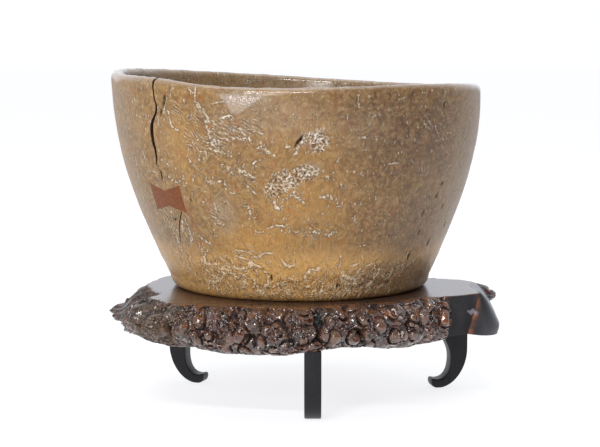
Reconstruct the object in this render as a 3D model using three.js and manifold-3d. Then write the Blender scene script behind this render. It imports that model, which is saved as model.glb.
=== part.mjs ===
// A burl wood bowl, its split mended with a butterfly key, on a burl slab stand with three hooked legs.
// Millimetres, +Z up, origin on the floor under the middle of the piece, -Y is the front.
import * as THREE from "three";
import { mergeVertices } from "three/addons/utils/BufferGeometryUtils.js";
import Module from "manifold-3d";

const wasm = await Module();
wasm.setup();

// Bowl
const baseRadius = 75; // outer wall carried down to the bowl's underside
const rimRadius = 110; // outer wall at its fullest
const bellyHeight = 118; // height at which the wall is fullest
const bowlHeight = 123.4; // underside to the mean top of the rim
const lipThickness = 7.5; // wall at the rim
const floorThickness = 14;
const floorRadius = 45; // flat inside floor
const heelRadius = 7; // round edge between underside and wall
const wallRoundness = 0.5; // power that fills out the inner corner
const bowlLean = -2.7; // sideways drift of the rim over the base
const rimTilt = -3.8; // rim higher on the left
const rimSaddle = 1.3;
const rimTwist = -1.9;
const rimRipple = 0.5;
const rimCrest = 1.9; // the rim stands up beside the split
const crestSpread = 18; // half its width, degrees
const ovality = 0.006; // share of the radius that the plan is out of round
const bowlSegments = 72;
const wallRings = 12;
const lipRings = 6;

// Split in the wall and the butterfly key across it
const splitAzimuth = -137.5; // degrees from +X, anticlockwise from above
const splitDepth = 5.5; // how far it runs into the wall
const rimSplitDepth = 9; // and at the rim, where it goes right through the lip
const deepenFrom = 10; // it starts to deepen this far below the belly
const deepenTo = 3; // and is at full depth this far above it
const splitSteps = 40;
// Line of the split from just above the key to over the rim: [height, sideways, opening at the surface]
const splitPath = [
  [67, -2, 0.5], [71, -1, 0.9], [74.5, -2.4, 0.5], [76.5, -3.8, 0.7], [79, -2.7, 1.1], [83, -2.2, 1.4],
  [88, -2.8, 1.6], [94.5, -2.5, 1.9], [100, -0.6, 1.9], [104, 2.6, 1.3], [108, 4.2, 1.1],
  [112, 2.9, 1], [118, 2.1, 1], [122, 2.3, 1.7], [132, 2.6, 3.4],
];
// The same split going on below the key
const footSplitPath = [
  [32, -3, 0.3], [36, -1.6, 0.8], [40.5, 0.8, 0.8], [45, 3.5, 1], [49, 6.6, 0.8], [52, 8.2, 0.6],
];
const keyAzimuth = -138.6;
const keyHeight = 57.4; // middle of the key above the bowl's underside
const keyLength = 27;
const keyEnd = 16.2; // width of its ends
const keyWaist = 9;
const keyDepth = 5; // how far it is let into the wall
const keyTilt = 0.5; // degrees
const keyClearance = 0.25; // gap all round in its pocket

// Slab
const slabThickness = 24;
const slabSamples = 264; // points round the edge
const slabRings = 10; // rings down the edge
const edgeBulge = 3.5; // how far the edge swells at half its thickness
const leftBulge = 7; // more swell at the left end
const underCut = 1.5; // the edge draws back in where it meets the underside
const faceRise = 0.6; // share of a knob's stand-out left at the top and the underside
// Where the burl hangs below the underside: [azimuth, half width in degrees, depth]
const hangs = [
  [-106, 15, 3], [-48, 14, 2.6],
];
const hangReach = 7; // how far in from the edge it hangs
// The right end, cut smooth: two faces that meet in an upright ridge
const cutFrom = -32; // azimuths where the cut starts, turns and ends, degrees
const cutRidge = -21.2;
const cutTo = 4;
const cutStartEase = 1; // half the turn over which the burl gives way to the cut, degrees
const cutEndEase = 4; // turn over which the burl comes back, degrees
const cutDraft = 3.2; // the face before the ridge slopes in to its bottom edge
const cutFlare = 17; // the face after the ridge leans out at its far bottom corner
// Edge of the polished top, anticlockwise from the right: [x, y]
const topOutline = [
  [100.8, -16], [103, 2], [101, 13], [91, 18], [80, 23], [68, 38], [45, 70], [12, 88], [-22, 86],
  [-52, 72], [-74, 49], [-88, 22], [-94, 2], [-96, -18], [-95, -38], [-90, -58], [-80, -76], [-62, -84],
  [-45, -88], [-27, -90], [-12, -95], [3, -95], [12, -91], [20, -85], [42, -80], [57, -71], [68, -60],
  [80, -55], [90, -50], [98, -44.8], [103.6, -40], [102.6, -32],
];
// Burl knobs on the front edge and both ends: [azimuth, height above the underside, radius, stand-out]
const frontKnobs = [
  [-176, 14, 8, 7], [-168, 13, 8, 8.5], [-163, 20, 6, 5], [-160, 9, 8, 7], [-157, 3, 8, 5],
  [-151, 17, 9, 4], [-149, 7, 8, 5], [-143, 16, 8, 6], [-141, 5, 8, 5], [-135, 10, 10, 6.5],
  [-131, 2, 8, 4.5], [-130, 19, 8, 5], [-127, 10, 9, 6], [-124, 16, 8, 4.5], [-121, 5, 10, 7],
  [-118, 17, 9, 6], [-116, 0, 9, 5.5], [-113, 9, 10, 7], [-107, 2, 9, 7], [-106, 17, 10, 7.5],
  [-99, 7, 11, 8], [-98, 20, 7, 4], [-94, 1, 8, 6], [-91, 18, 9, 5.5], [-90, 11, 8, 6],
  [-86.5, 0, 8, 8], [-81, 8, 9, 7.5], [-80, 18, 9, 6.5], [-79, 0, 8, 6.5], [-75.5, 11, 9, 6.5],
  [-71, 3, 8, 6], [-70, 17, 8.5, 7], [-64, 11, 11, 7.5], [-62, 0, 9, 6], [-57, 17, 10, 6.5],
  [-56, 6, 9, 7], [-49, 5, 10.5, 7.5], [-46, 17, 10.5, 7], [-40, 0, 7, 5], [-39.5, 8, 9.5, 7.5],
  [-38, 19, 8, 5], [-35, 2, 6, 5.5], [-35, 9, 6, 5.5], [-34.5, 17, 6, 4.5],
];
const endKnobs = [[6, 16, 8, 9], [10, 7, 9, 11], [15, 19, 7, 7], [19, 11, 9, 8]];
const backKnobsFrom = 27;
const backKnobsTo = 179;
const backKnobPitch = 9.5; // degrees between knobs along the back
const backKnobHeights = [8, 17, 12];
const backKnobRadii = [10, 8, 11, 9];
const backKnobStandOut = 6;

// Legs
const legHeight = 41.4; // floor to the slab's underside
const legWidth = 9.6; // across the leg, side to side
const legShoulder = 18.5; // depth of the leg where it meets the slab
const legShank = 10.7; // least depth, half way down
const legReach = 22.7; // outer face to the tip of the hook
const hookContact = 18.2; // outer face to the point that touches the floor
const hookThickness = 5.4; // depth of the hook above the floor
const hookTip = 3.2; // length of the hook's blunt tip
const tipCorner = 1; // rounding of the tip's upper corner
const hookEase = 3; // how gently the hook runs into the shank
const shoulderEase = 2.5; // and the shank into the shoulder
const shankHeight = 18.5; // height of the least depth
const bendHeight = 24; // height at which the outer face starts to bend
const legEase = 0.8; // rounding of the long edges
const footFlat = 0.2; // worn flat under the hook
const tenonRadius = 3.6;
const tenonLength = 12;
const tenonClearance = 0.2;
const mortiseSpare = 1; // empty depth beyond the tenon
const seatGap = 0.3; // the hanging burl is trimmed back this far round each leg's shoulder
const legNames = ["leg_front", "leg_left", "leg_right"];
const legAzimuths = [-90.4, 161, 11.5]; // way that each outer face looks, degrees
// Where each hook touches the floor: [x, y]
const footPlaces = [
  [6.2, -78.5], [-63.9, 23.3], [83, 8.6],
];

const slabUnderside = legHeight;
const slabTop = legHeight + slabThickness;
const bowlX = -1; // middle of the bowl's underside on the slab
const bowlY = 0;
const middleX = 2.7; // middle of the whole piece, which the origin lies under
const toRadians = THREE.MathUtils.degToRad;

const bowlWood = new THREE.MeshStandardMaterial({ color: 0xa87b45, roughness: 0.4, metalness: 0 });
const keyWood = new THREE.MeshStandardMaterial({ color: 0x9a4a22, roughness: 0.45, metalness: 0 });
const slabWood = new THREE.MeshStandardMaterial({ color: 0x4a2a20, roughness: 0.25, metalness: 0 });
const legWood = new THREE.MeshStandardMaterial({ color: 0x1d1b1e, roughness: 0.35, metalness: 0 });

// A closed geometry as a solid for cutting and joining.
function solid(geometry) {
  const bare = geometry.clone();
  bare.deleteAttribute("normal");
  bare.deleteAttribute("uv");
  const merged = mergeVertices(bare, 1e-4);
  return new wasm.Manifold(
    new wasm.Mesh({
      numProp: 3,
      vertProperties: merged.attributes.position.array,
      triVerts: new Uint32Array(merged.index.array),
    }),
  );
}

function geometryOf(cut) {
  const mesh = cut.getMesh();
  const geometry = new THREE.BufferGeometry();
  geometry.setAttribute("position", new THREE.BufferAttribute(mesh.vertProperties, 3));
  geometry.setIndex(new THREE.BufferAttribute(mesh.triVerts, 1));
  geometry.computeVertexNormals();
  return geometry;
}

function named(name, geometry, material) {
  const mesh = new THREE.Mesh(geometry, material);
  mesh.name = name;
  return mesh;
}

function outerWall(height) {
  const share = Math.min(height / bellyHeight, 1);
  return baseRadius + (rimRadius - baseRadius) * Math.sin((Math.PI / 2) * share);
}

function innerWall(height) {
  const share = Math.min((height - floorThickness) / (bellyHeight - floorThickness), 1);
  const fullness = Math.sin((Math.PI / 2) * share) ** wallRoundness;
  return floorRadius + (rimRadius - lipThickness - floorRadius) * fullness;
}

// Height of the rim's top by direction, and how the rest of the wall follows it.
function rimHeight(azimuth) {
  const aside = azimuth - toRadians(splitAzimuth);
  const fromSplit = Math.atan2(Math.sin(aside), Math.cos(aside)) / toRadians(crestSpread);
  return (
    bowlHeight +
    rimTilt * Math.cos(azimuth) +
    rimSaddle * Math.cos(2 * azimuth) +
    rimTwist * Math.sin(2 * azimuth) +
    rimRipple * Math.cos(3 * azimuth + 2.5) +
    rimCrest * Math.exp(-(fromSplit ** 2))
  );
}

function outOfRound(azimuth) {
  return 1 + ovality * (Math.cos(2 * azimuth + 0.8) + 0.7 * Math.cos(3 * azimuth - 1.1));
}

// Moves a point of the true bowl of revolution to its place on the hand-cut one. The underside and
// the inside floor stay flat.
function settle(point) {
  const azimuth = Math.atan2(point.y, point.x);
  const share = point.z / bowlHeight;
  const swell = outOfRound(azimuth) * share + 1 - share;
  const lift = Math.max(0, point.z - floorThickness) / (bowlHeight - floorThickness);
  const rise = (rimHeight(azimuth) - bowlHeight) * lift * lift;
  return point.set(point.x * swell + bowlLean * share, point.y * swell, point.z + rise);
}

function settleAll(geometry) {
  const places = geometry.attributes.position;
  const point = new THREE.Vector3();
  for (let i = 0; i < places.count; i++) {
    point.fromBufferAttribute(places, i);
    settle(point);
    places.setXYZ(i, point.x, point.y, point.z);
  }
  return geometry;
}

// Underside, heel and outer wall up to the lip, as [radius, height] points.
function outerProfile() {
  const profile = [new THREE.Vector2(0, 0)];
  const heelTop = outerWall(heelRadius);
  for (let i = 0; i <= 4; i++) {
    const turn = (i / 4) * (Math.PI / 2);
    const radius = heelTop - heelRadius * (1 - Math.sin(turn));
    profile.push(new THREE.Vector2(radius, heelRadius * (1 - Math.cos(turn))));
  }
  const wallTop = bowlHeight - lipThickness / 2;
  for (let i = 1; i <= wallRings; i++) {
    const height = heelRadius + (wallTop - heelRadius) * (i / wallRings);
    profile.push(new THREE.Vector2(outerWall(height), height));
  }
  return profile;
}

function bowlProfile() {
  const profile = outerProfile();
  const lipHeight = bowlHeight - lipThickness / 2;
  const lipCentre = rimRadius - lipThickness / 2;
  for (let i = 1; i <= lipRings; i++) {
    const turn = (i / lipRings) * Math.PI;
    const across = (lipThickness / 2) * Math.cos(turn);
    profile.push(new THREE.Vector2(lipCentre + across, lipHeight + (lipThickness / 2) * Math.sin(turn)));
  }
  for (let i = wallRings - 1; i >= 0; i--) {
    const share = (i / wallRings) ** 1.6;
    const height = floorThickness + (lipHeight - floorThickness) * share;
    profile.push(new THREE.Vector2(innerWall(height), height));
  }
  profile.push(new THREE.Vector2(0, floorThickness));
  return profile;
}

// The bowl before hollowing, grown by a margin: what the key is trimmed to.
function bowlBlank(margin) {
  const profile = outerProfile();
  profile.push(new THREE.Vector2(0, profile.at(-1).y));
  const blank = settleAll(new THREE.LatheGeometry(profile, bowlSegments).rotateX(Math.PI / 2));
  return solid(blank.scale(1 + margin / rimRadius, 1 + margin / rimRadius, 1));
}

// A closed V-section wedge along a line on the wall: a split that narrows into the wood.
function splitWedge(path) {
  const line = new THREE.CatmullRomCurve3(path.map((step) => new THREE.Vector3(...step)));
  const corners = [];
  for (const { x: height, y: sideways, z: opening } of line.getPoints(splitSteps)) {
    const atRim = THREE.MathUtils.smoothstep(height, bellyHeight - deepenFrom, bellyHeight + deepenTo);
    const depth = splitDepth + (rimSplitDepth - splitDepth) * atRim;
    const radius = outerWall(height);
    const middle = toRadians(splitAzimuth) + sideways / radius;
    const apart = (opening / 2) * 1.5 / radius;
    const outside = radius + depth / 2;
    for (const [reach, turn] of [[outside, -apart], [outside, apart], [radius - depth, 0]]) {
      const angle = middle + turn;
      corners.push(settle(new THREE.Vector3(reach * Math.cos(angle), reach * Math.sin(angle), height)));
    }
  }
  const faces = [0, 2, 1];
  for (let i = 0; i < splitSteps; i++) {
    for (let side = 0; side < 3; side++) {
      const a = 3 * i + side;
      const b = 3 * i + ((side + 1) % 3);
      faces.push(a, b + 3, a + 3, a, b, b + 3);
    }
  }
  const last = 3 * splitSteps;
  faces.push(last, last + 1, last + 2);
  const geometry = new THREE.BufferGeometry().setFromPoints(corners);
  geometry.setIndex(faces);
  return geometry;
}

// The key's bow-tie outline run in from outside the wall to its let-in depth.
function keyPrism(clearance, depth) {
  const end = keyEnd / 2 + clearance;
  const waist = keyWaist / 2 + clearance;
  const half = keyLength / 2 + clearance;
  const shape = new THREE.Shape([
    new THREE.Vector2(-half, -end),
    new THREE.Vector2(0, -waist),
    new THREE.Vector2(half, -end),
    new THREE.Vector2(half, end),
    new THREE.Vector2(0, waist),
    new THREE.Vector2(-half, end),
  ]);
  const outside = depth * 2;
  const geometry = new THREE.ExtrudeGeometry(shape, { depth: outside + depth, bevelEnabled: false });
  const azimuth = toRadians(keyAzimuth);
  const face = settle(
    new THREE.Vector3(
      outerWall(keyHeight) * Math.cos(azimuth),
      outerWall(keyHeight) * Math.sin(azimuth),
      keyHeight,
    ),
  );
  const slope = Math.atan2(outerWall(keyHeight + 1) - outerWall(keyHeight - 1), 2);
  geometry.translate(0, 0, -depth);
  geometry.rotateZ(toRadians(keyTilt));
  geometry.rotateX(Math.PI / 2 + slope);
  geometry.rotateZ(azimuth + Math.PI / 2);
  return solid(geometry.translate(face.x, face.y, face.z));
}

function makeBowl() {
  const turned = settleAll(new THREE.LatheGeometry(bowlProfile(), bowlSegments).rotateX(Math.PI / 2));
  return geometryOf(
    solid(turned)
      .subtract(solid(splitWedge(splitPath)))
      .subtract(solid(splitWedge(footSplitPath)))
      .subtract(keyPrism(keyClearance, keyDepth + keyClearance)),
  );
}

function makeKey() {
  return geometryOf(keyPrism(0, keyDepth).intersect(bowlBlank(0)));
}

// Every knob round the edge: those seen from the front, the ends, and a steady run along the back.
function allKnobs() {
  const knobs = [...frontKnobs, ...endKnobs];
  let count = 0;
  for (let azimuth = backKnobsFrom; azimuth < backKnobsTo; azimuth += backKnobPitch) {
    const height = backKnobHeights[count % backKnobHeights.length];
    const radius = backKnobRadii[count % backKnobRadii.length];
    knobs.push([azimuth, height, radius, backKnobStandOut]);
    count += 1;
  }
  return knobs;
}

function edgeCurve() {
  const points = topOutline.map(([x, y]) => new THREE.Vector3(x, y, 0));
  return new THREE.CatmullRomCurve3(points, true);
}

// How far the burl hangs below the underside, by direction.
function hangDepth(azimuth) {
  const depths = hangs.map(([middle, spread, depth]) => {
    const aside = (azimuth - toRadians(middle)) / toRadians(spread);
    return depth * Math.exp(-(aside ** 4));
  });
  return Math.max(...depths);
}

// How far the bare edge stands out from the polished top's outline, by direction and share of depth.
function edgeSwell(azimuth, share) {
  const degrees = THREE.MathUtils.radToDeg(azimuth);
  const { smoothstep, clamp } = THREE.MathUtils;
  const started = smoothstep(degrees, cutFrom - cutStartEase, cutFrom + cutStartEase);
  const cut = started * (1 - smoothstep(degrees, cutTo, cutTo + cutEndEase));
  const pastRidge = clamp((degrees - cutRidge) / (cutTo - cutRidge), 0, 1);
  const lean = pastRidge * (cutFlare + cutDraft) - cutDraft;
  const fromLeft = Math.max(0, Math.cos(azimuth - Math.PI));
  const bulge = edgeBulge + leftBulge * fromLeft ** 3;
  const rough = bulge * Math.sin(Math.PI * share) - underCut * share ** 4;
  return rough * (1 - cut) + lean * share * cut;
}

function slabEdge() {
  const samples = edgeCurve().getSpacedPoints(slabSamples).slice(0, slabSamples);
  return samples.map((place, i) => {
    const before = samples[(i + slabSamples - 1) % slabSamples];
    const after = samples[(i + 1) % slabSamples];
    const outward = new THREE.Vector3(after.y - before.y, before.x - after.x, 0).normalize();
    return { place, outward, azimuth: Math.atan2(place.y, place.x) };
  });
}

function edgePoint(spot, share) {
  const point = spot.place.clone().addScaledVector(spot.outward, edgeSwell(spot.azimuth, share));
  return point.setZ(slabTop - share * (slabThickness + hangDepth(spot.azimuth)));
}

function makeSlabBlank() {
  const edge = slabEdge();
  const knobs = allKnobs().map(([azimuth, height, radius, standOut]) => {
    const towards = toRadians(azimuth);
    const nearest = edge.reduce((best, spot) => {
      const off = (s) => Math.abs(Math.atan2(Math.sin(s.azimuth - towards), Math.cos(s.azimuth - towards)));
      return off(spot) < off(best) ? spot : best;
    });
    const centre = edgePoint(nearest, 1 - height / slabThickness);
    return { centre: centre.setZ(slabUnderside + height), radius, standOut };
  });
  const points = [];
  for (let ring = 0; ring <= slabRings; ring++) {
    const share = ring / slabRings;
    for (const spot of edge) {
      const point = edgePoint(spot, share);
      const bumps = knobs.map((knob) => {
        const away = point.distanceTo(knob.centre) / knob.radius;
        return away < 1 ? knob.standOut * Math.sqrt(1 - away * away) : 0;
      });
      const left = ring === 0 || ring === slabRings ? faceRise : 1;
      points.push(point.addScaledVector(spot.outward, left * Math.max(...bumps)));
    }
  }
  // The underside rises from the hanging edge to its flat middle.
  for (let i = 0; i < slabSamples; i++) {
    const rim = points[slabRings * slabSamples + i];
    points.push(rim.clone().addScaledVector(edge[i].outward, -hangReach).setZ(slabUnderside));
  }
  const faces = [];
  const lastRing = (slabRings + 1) * slabSamples;
  for (let ring = 0; ring < lastRing; ring += slabSamples) {
    for (let i = 0; i < slabSamples; i++) {
      const a = ring + i;
      const b = ring + ((i + 1) % slabSamples);
      faces.push(a, a + slabSamples, b, b, a + slabSamples, b + slabSamples);
    }
  }
  const topMiddle = points.push(new THREE.Vector3(0, 0, slabTop)) - 1;
  const underMiddle = points.push(new THREE.Vector3(0, 0, slabUnderside)) - 1;
  for (let i = 0; i < slabSamples; i++) {
    const next = (i + 1) % slabSamples;
    faces.push(topMiddle, i, next, underMiddle, lastRing + next, lastRing + i);
  }
  const geometry = new THREE.BufferGeometry().setFromPoints(points);
  geometry.setIndex(faces);
  return geometry;
}

// Turns and moves a leg-frame geometry, whose +X runs in from the outer face, to its place.
function atLeg(geometry, leg) {
  const [x, y] = footPlaces[leg];
  const towards = toRadians(legAzimuths[leg]);
  geometry.rotateZ(towards + Math.PI);
  return geometry.translate(x + hookContact * Math.cos(towards), y + hookContact * Math.sin(towards), 0);
}

function tenon(radius, length) {
  const peg = new THREE.CylinderGeometry(radius, radius, length, 24).rotateX(Math.PI / 2);
  return peg.translate(legShoulder / 2, 0, legHeight + length / 2);
}

function makeLeg(leg) {
  const shape = new THREE.Shape();
  const overTop = legHeight + legEase + footFlat;
  const inner = hookThickness;
  shape.moveTo(0, overTop);
  shape.lineTo(0, bendHeight);
  shape.bezierCurveTo(0, bendHeight * 0.46, hookContact * 0.48, 0, hookContact, 0);
  const toe = hookContact + (legReach - hookContact) * 0.58;
  const neck = legShoulder - shoulderEase;
  shape.bezierCurveTo(toe, 0, legReach, inner * 0.2, legReach, inner * 0.75);
  shape.bezierCurveTo(legReach, inner * 1.1, legReach - tipCorner, inner * 1.12, legReach - hookTip, inner);
  shape.bezierCurveTo(legShank + hookEase, inner * 0.96, legShank, shankHeight * 0.52, legShank, shankHeight);
  shape.bezierCurveTo(legShank, shankHeight * 1.45, neck, shankHeight * 1.6, legShoulder, overTop);
  shape.closePath();
  const bar = new THREE.ExtrudeGeometry(shape, {
    depth: legWidth - 2 * legEase,
    bevelEnabled: true,
    bevelThickness: legEase,
    bevelSize: legEase,
    bevelOffset: -legEase,
    bevelSegments: 2,
    curveSegments: 9,
  });
  bar.rotateX(Math.PI / 2).translate(0, legWidth / 2 - legEase, -footFlat);
  // Square shoulder against the slab and a small flat under the hook.
  const stock = new THREE.BoxGeometry(3 * legReach, 2 * legWidth, legHeight);
  stock.translate(legReach / 2, 0, legHeight / 2);
  const shaped = solid(bar).intersect(solid(stock)).add(solid(tenon(tenonRadius, tenonLength)));
  return atLeg(geometryOf(shaped), leg);
}

function makeSlab() {
  let slab = solid(makeSlabBlank());
  const seatDepth = 2 * Math.max(...hangs.map(([, , depth]) => depth));
  for (const leg of legNames.keys()) {
    const mortise = tenon(tenonRadius + tenonClearance, tenonLength + mortiseSpare);
    const seat = new THREE.BoxGeometry(legShoulder + 2 * seatGap, legWidth + 2 * seatGap, seatDepth);
    seat.translate(legShoulder / 2, 0, slabUnderside - seatDepth / 2);
    slab = slab.subtract(solid(atLeg(mortise, leg)));
    slab = slab.subtract(solid(atLeg(seat, leg)));
  }
  return geometryOf(slab);
}

const bowl = new THREE.Group();
bowl.position.set(bowlX, bowlY, slabTop);
bowl.add(named("bowl", makeBowl(), bowlWood));
bowl.add(named("butterfly_key", makeKey(), keyWood));

const stand = new THREE.Group();
stand.add(named("burl_slab", makeSlab(), slabWood));
for (const [leg, name] of legNames.entries()) {
  stand.add(named(name, makeLeg(leg), legWood));
}

const part = new THREE.Group();
part.add(stand, bowl);
part.position.x = -middleX;

export default part;
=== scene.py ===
"""A burl wood bowl, its split mended with a butterfly key, on a burl slab stand with three hooked legs.

Metres, +Z up, -Y is the front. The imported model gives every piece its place; this script gives the looks.
Sizes named without a unit are millimetres, and become metres when a mesh is finished.
"""

import math

import bmesh
import bpy
import numpy as np
from mathutils import Matrix, Vector, noise


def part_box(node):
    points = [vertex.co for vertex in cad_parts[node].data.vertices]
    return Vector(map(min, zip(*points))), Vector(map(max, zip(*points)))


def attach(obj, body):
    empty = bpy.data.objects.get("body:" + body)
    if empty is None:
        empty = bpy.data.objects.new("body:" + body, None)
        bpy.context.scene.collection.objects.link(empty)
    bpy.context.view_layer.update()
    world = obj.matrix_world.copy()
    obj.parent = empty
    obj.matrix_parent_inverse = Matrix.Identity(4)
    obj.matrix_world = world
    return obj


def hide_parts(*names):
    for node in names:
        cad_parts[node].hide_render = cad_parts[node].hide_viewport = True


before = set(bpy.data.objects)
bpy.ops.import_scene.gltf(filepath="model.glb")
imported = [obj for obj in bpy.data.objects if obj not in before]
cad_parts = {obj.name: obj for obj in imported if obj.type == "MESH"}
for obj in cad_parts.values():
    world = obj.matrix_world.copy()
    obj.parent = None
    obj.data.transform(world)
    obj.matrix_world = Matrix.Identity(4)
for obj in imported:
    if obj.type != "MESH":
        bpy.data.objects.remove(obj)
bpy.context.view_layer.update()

MM = 0.001
MIDDLE_X = 2.7  # the whole piece is moved left by this, so that the origin lies under its middle

# The bowl: the same driving sizes as the solid that it stands for
BASE_RADIUS = 75
RIM_RADIUS = 110
BELLY_HEIGHT = 118
BOWL_HEIGHT = 123.4
LIP_THICKNESS = 7.5
FLOOR_THICKNESS = 14
FLOOR_RADIUS = 45
HEEL_RADIUS = 7
WALL_ROUNDNESS = 0.5
BOWL_LEAN = -2.7
RIM_TILT = -3.8
RIM_SADDLE = 1.3
RIM_TWIST = -1.9
RIM_RIPPLE = 0.5
RIM_CREST = 1.9
CREST_SPREAD = 18
OVALITY = 0.006
BOWL_X = -1 - MIDDLE_X

# Split and key
SPLIT_AZIMUTH = -137.5
SPLIT_DEPTH = 5.5
RIM_SPLIT_DEPTH = 9
DEEPEN_FROM = 10
DEEPEN_TO = 3
# Line of the split: [height, sideways, opening at the surface]
SPLIT_PATH = [
    [67, -2, 0.6], [71, -1, 1.2], [74.5, -2.4, 0.5], [76.5, -3.8, 0.9], [79, -2.7, 1.6], [83, -2.2, 2.1],
    [88, -2.8, 2.7], [94.5, -2.5, 3.2], [100, -0.6, 2.8], [104, 2.6, 1.8], [108, 4.2, 1.5],
    [112, 2.9, 1.3], [118, 2.1, 1.2], [122, 2.3, 1.9], [132, 2.6, 3.6],
]
FOOT_SPLIT_PATH = [
    [32, -3, 0.3], [36, -1.6, 0.8], [40.5, 0.8, 0.8], [45, 3.5, 1], [49, 6.6, 0.8], [52, 8.2, 0.6],
]
KEY_AZIMUTH = -138.6
KEY_HEIGHT = 57.4
KEY_LENGTH = 27
KEY_END = 16.2
KEY_WAIST = 9
KEY_DEPTH = 5
KEY_TILT = 0.5
KEY_GAP = 0.1  # a hair all round it, finer than the solid's clearance

# Fineness of the bowl's mesh and of the cut for its split
FRONT_FROM = -205  # the front arc, finely divided, and the rest of the turn, degrees
FRONT_TO = 25
FRONT_STEPS = 500
BACK_STEPS = 120
WALL_RINGS = 112
INNER_RINGS = 18
LIP_RINGS = 9
HEEL_RINGS = 6
SPLIT_STEPS = 110
FLOOR_RINGS = 3
UNROLLED_RADIUS = 100  # at which the wall is unrolled flat for its patterns

# Slab: the same driving sizes as the solid
LEG_HEIGHT = 41.4
SLAB_THICKNESS = 24
EDGE_BULGE = 3.5
LEFT_BULGE = 7
UNDER_CUT = 1.5
FACE_RISE = 0.6
HANGS = [[-106, 15, 3], [-48, 14, 2.6]]
HANG_REACH = 7
CUT_FROM = -32
CUT_RIDGE = -21.2
CUT_TO = 4
CUT_START_EASE = 1
CUT_END_EASE = 4
CUT_DRAFT = 3.2
CUT_FLARE = 17
FLARE_QUICKNESS = 0.08
FLARE_ROUNDNESS = 0.6
FLARE_TUCK = 4
RIDGE_SLANT = 2.8  # degrees that the ridge runs back by on its way down
TOP_OUTLINE = [
    [100.8, -16], [103, 2], [101, 13], [91, 18], [80, 23], [68, 38], [45, 70], [12, 88], [-22, 86],
    [-52, 72], [-74, 49], [-88, 22], [-94, 2], [-96, -18], [-95, -38], [-90, -58], [-80, -76], [-62, -84],
    [-45, -88], [-27, -90], [-12, -95], [3, -95], [12, -91], [20, -85], [42, -80], [57, -71], [68, -60],
    [80, -55], [90, -50], [98, -44.8], [103.6, -40], [102.6, -32],
]
# Burl knobs: [azimuth, height above the underside, radius, stand-out]
KNOBS = [
    [-176, 14, 8, 7], [-168, 13, 8, 8.5], [-163, 20, 6, 5], [-160, 9, 8, 7], [-157, 3, 8, 5],
    [-151, 17, 9, 4], [-149, 7, 8, 5], [-143, 16, 8, 6], [-141, 5, 8, 5], [-135, 10, 10, 6.5],
    [-131, 2, 8, 4.5], [-130, 19, 8, 5], [-127, 10, 9, 6], [-124, 16, 8, 4.5], [-121, 5, 10, 7],
    [-118, 17, 9, 6], [-116, 0, 9, 5.5], [-113, 9, 10, 7], [-107, 2, 9, 7], [-106, 17, 10, 7.5],
    [-99, 7, 11, 8], [-98, 20, 7, 4], [-94, 1, 8, 6], [-91, 18, 9, 5.5], [-90, 11, 8, 6],
    [-86.5, 0, 8, 8], [-81, 8, 9, 7.5], [-80, 18, 9, 6.5], [-79, 0, 8, 6.5], [-75.5, 11, 9, 6.5],
    [-71, 3, 8, 6], [-70, 17, 8.5, 7], [-64, 11, 11, 7.5], [-62, 0, 9, 6], [-57, 17, 10, 6.5],
    [-56, 6, 9, 7], [-49, 5, 10.5, 7.5], [-46, 17, 10.5, 7], [-40, 0, 7, 5], [-39.5, 8, 9.5, 7.5],
    [-38, 19, 8, 5], [-35, 2, 6, 5.5], [-35, 9, 6, 5.5], [-34.5, 17, 6, 4.5],
    [6, 16, 8, 9], [10, 7, 9, 11], [15, 19, 7, 7], [19, 11, 9, 8],
]
BACK_KNOBS_FROM = 27
BACK_KNOBS_TO = 179
BACK_KNOB_PITCH = 9.5
BACK_KNOB_HEIGHTS = [8, 17, 12]
BACK_KNOB_RADII = [10, 8, 11, 9]
BACK_KNOB_STAND_OUT = 6
KNOB_BLEND = 6  # how crisply knobs meet
EDGE_STEPS = 1240
EDGE_RINGS = 46
TOP_RINGS = [0.72, 0.8, 0.84, 0.87, 0.89, 0.91, 0.925, 0.94, 0.955, 0.968, 0.98, 0.988, 0.995]
# Line on the top where its polish ends and the rough left end begins, from the back to the front
SLOPE_LINE = [
    (-101, 6), (-93, -8), (-88, -30), (-82.5, -44), (-87.5, -58), (-79, -69), (-75, -79), (-72, -92),
]
SLOPE_DROP = 2.6
FURROW_PITCH = 4.2
LEFT_LOBE_HEIGHT = 49.5  # of the flat lobe that the left end runs out in
LEFT_LOBE_PINCH = 0.5
LEFT_LOBE_FADE = (99, 107)  # how far out to the left the pinch starts and is full
# Spikes and notches of the left end: [place, reach, how far up, how far out]
END_TOUCHES = [
    [(-105, -26, 58), 2.3, 5, 0], [(-104, -14, 57), 3, -3, 0], [(-103.5, -34, 45), 3.5, 2, -3],
    [(-101, -52, 44), 4.5, -1, 3], [(-110, -20, 55), 2.2, 1.5, 1], [(-98, -36, 62), 2.5, 2, 0],
]
BITE = 3.2  # how far the broken edge bites into the polished top
BITE_FADE = 0.84  # share of the way out where the bites start to tell on the top
TOP_EASE = 0.12  # the top's edge is eased in and down by these
TOP_EASE_DROP = 0.35
# How worn the rows of points by the top's edge are, from the fourth inside it to the first one under it
EDGE_WEAR = [0.15, 0.25, 0.35, 0.5, 0.8, 0.2]
WEAR_INSIDE = 4
WAVES = (5.5, 12)  # size and seed of the noise that the top and the edge share where they meet
# Stretches of the natural edge that differ from the rest, degrees round it
RAKED_AT = -158  # raked in upright furrows
RAKED_FADE = (22, 12)
OLIVE_AT = -137  # stained olive
OLIVE_REACH = 9
CALM_FADE = (-122, -134)  # to the left of this its creases and eggs are softer
REAR_RISE = 3  # behind the cut, rough and painted near black as shade, from this far past the cut's end
REAR_FADE = (34, 28)
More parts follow.
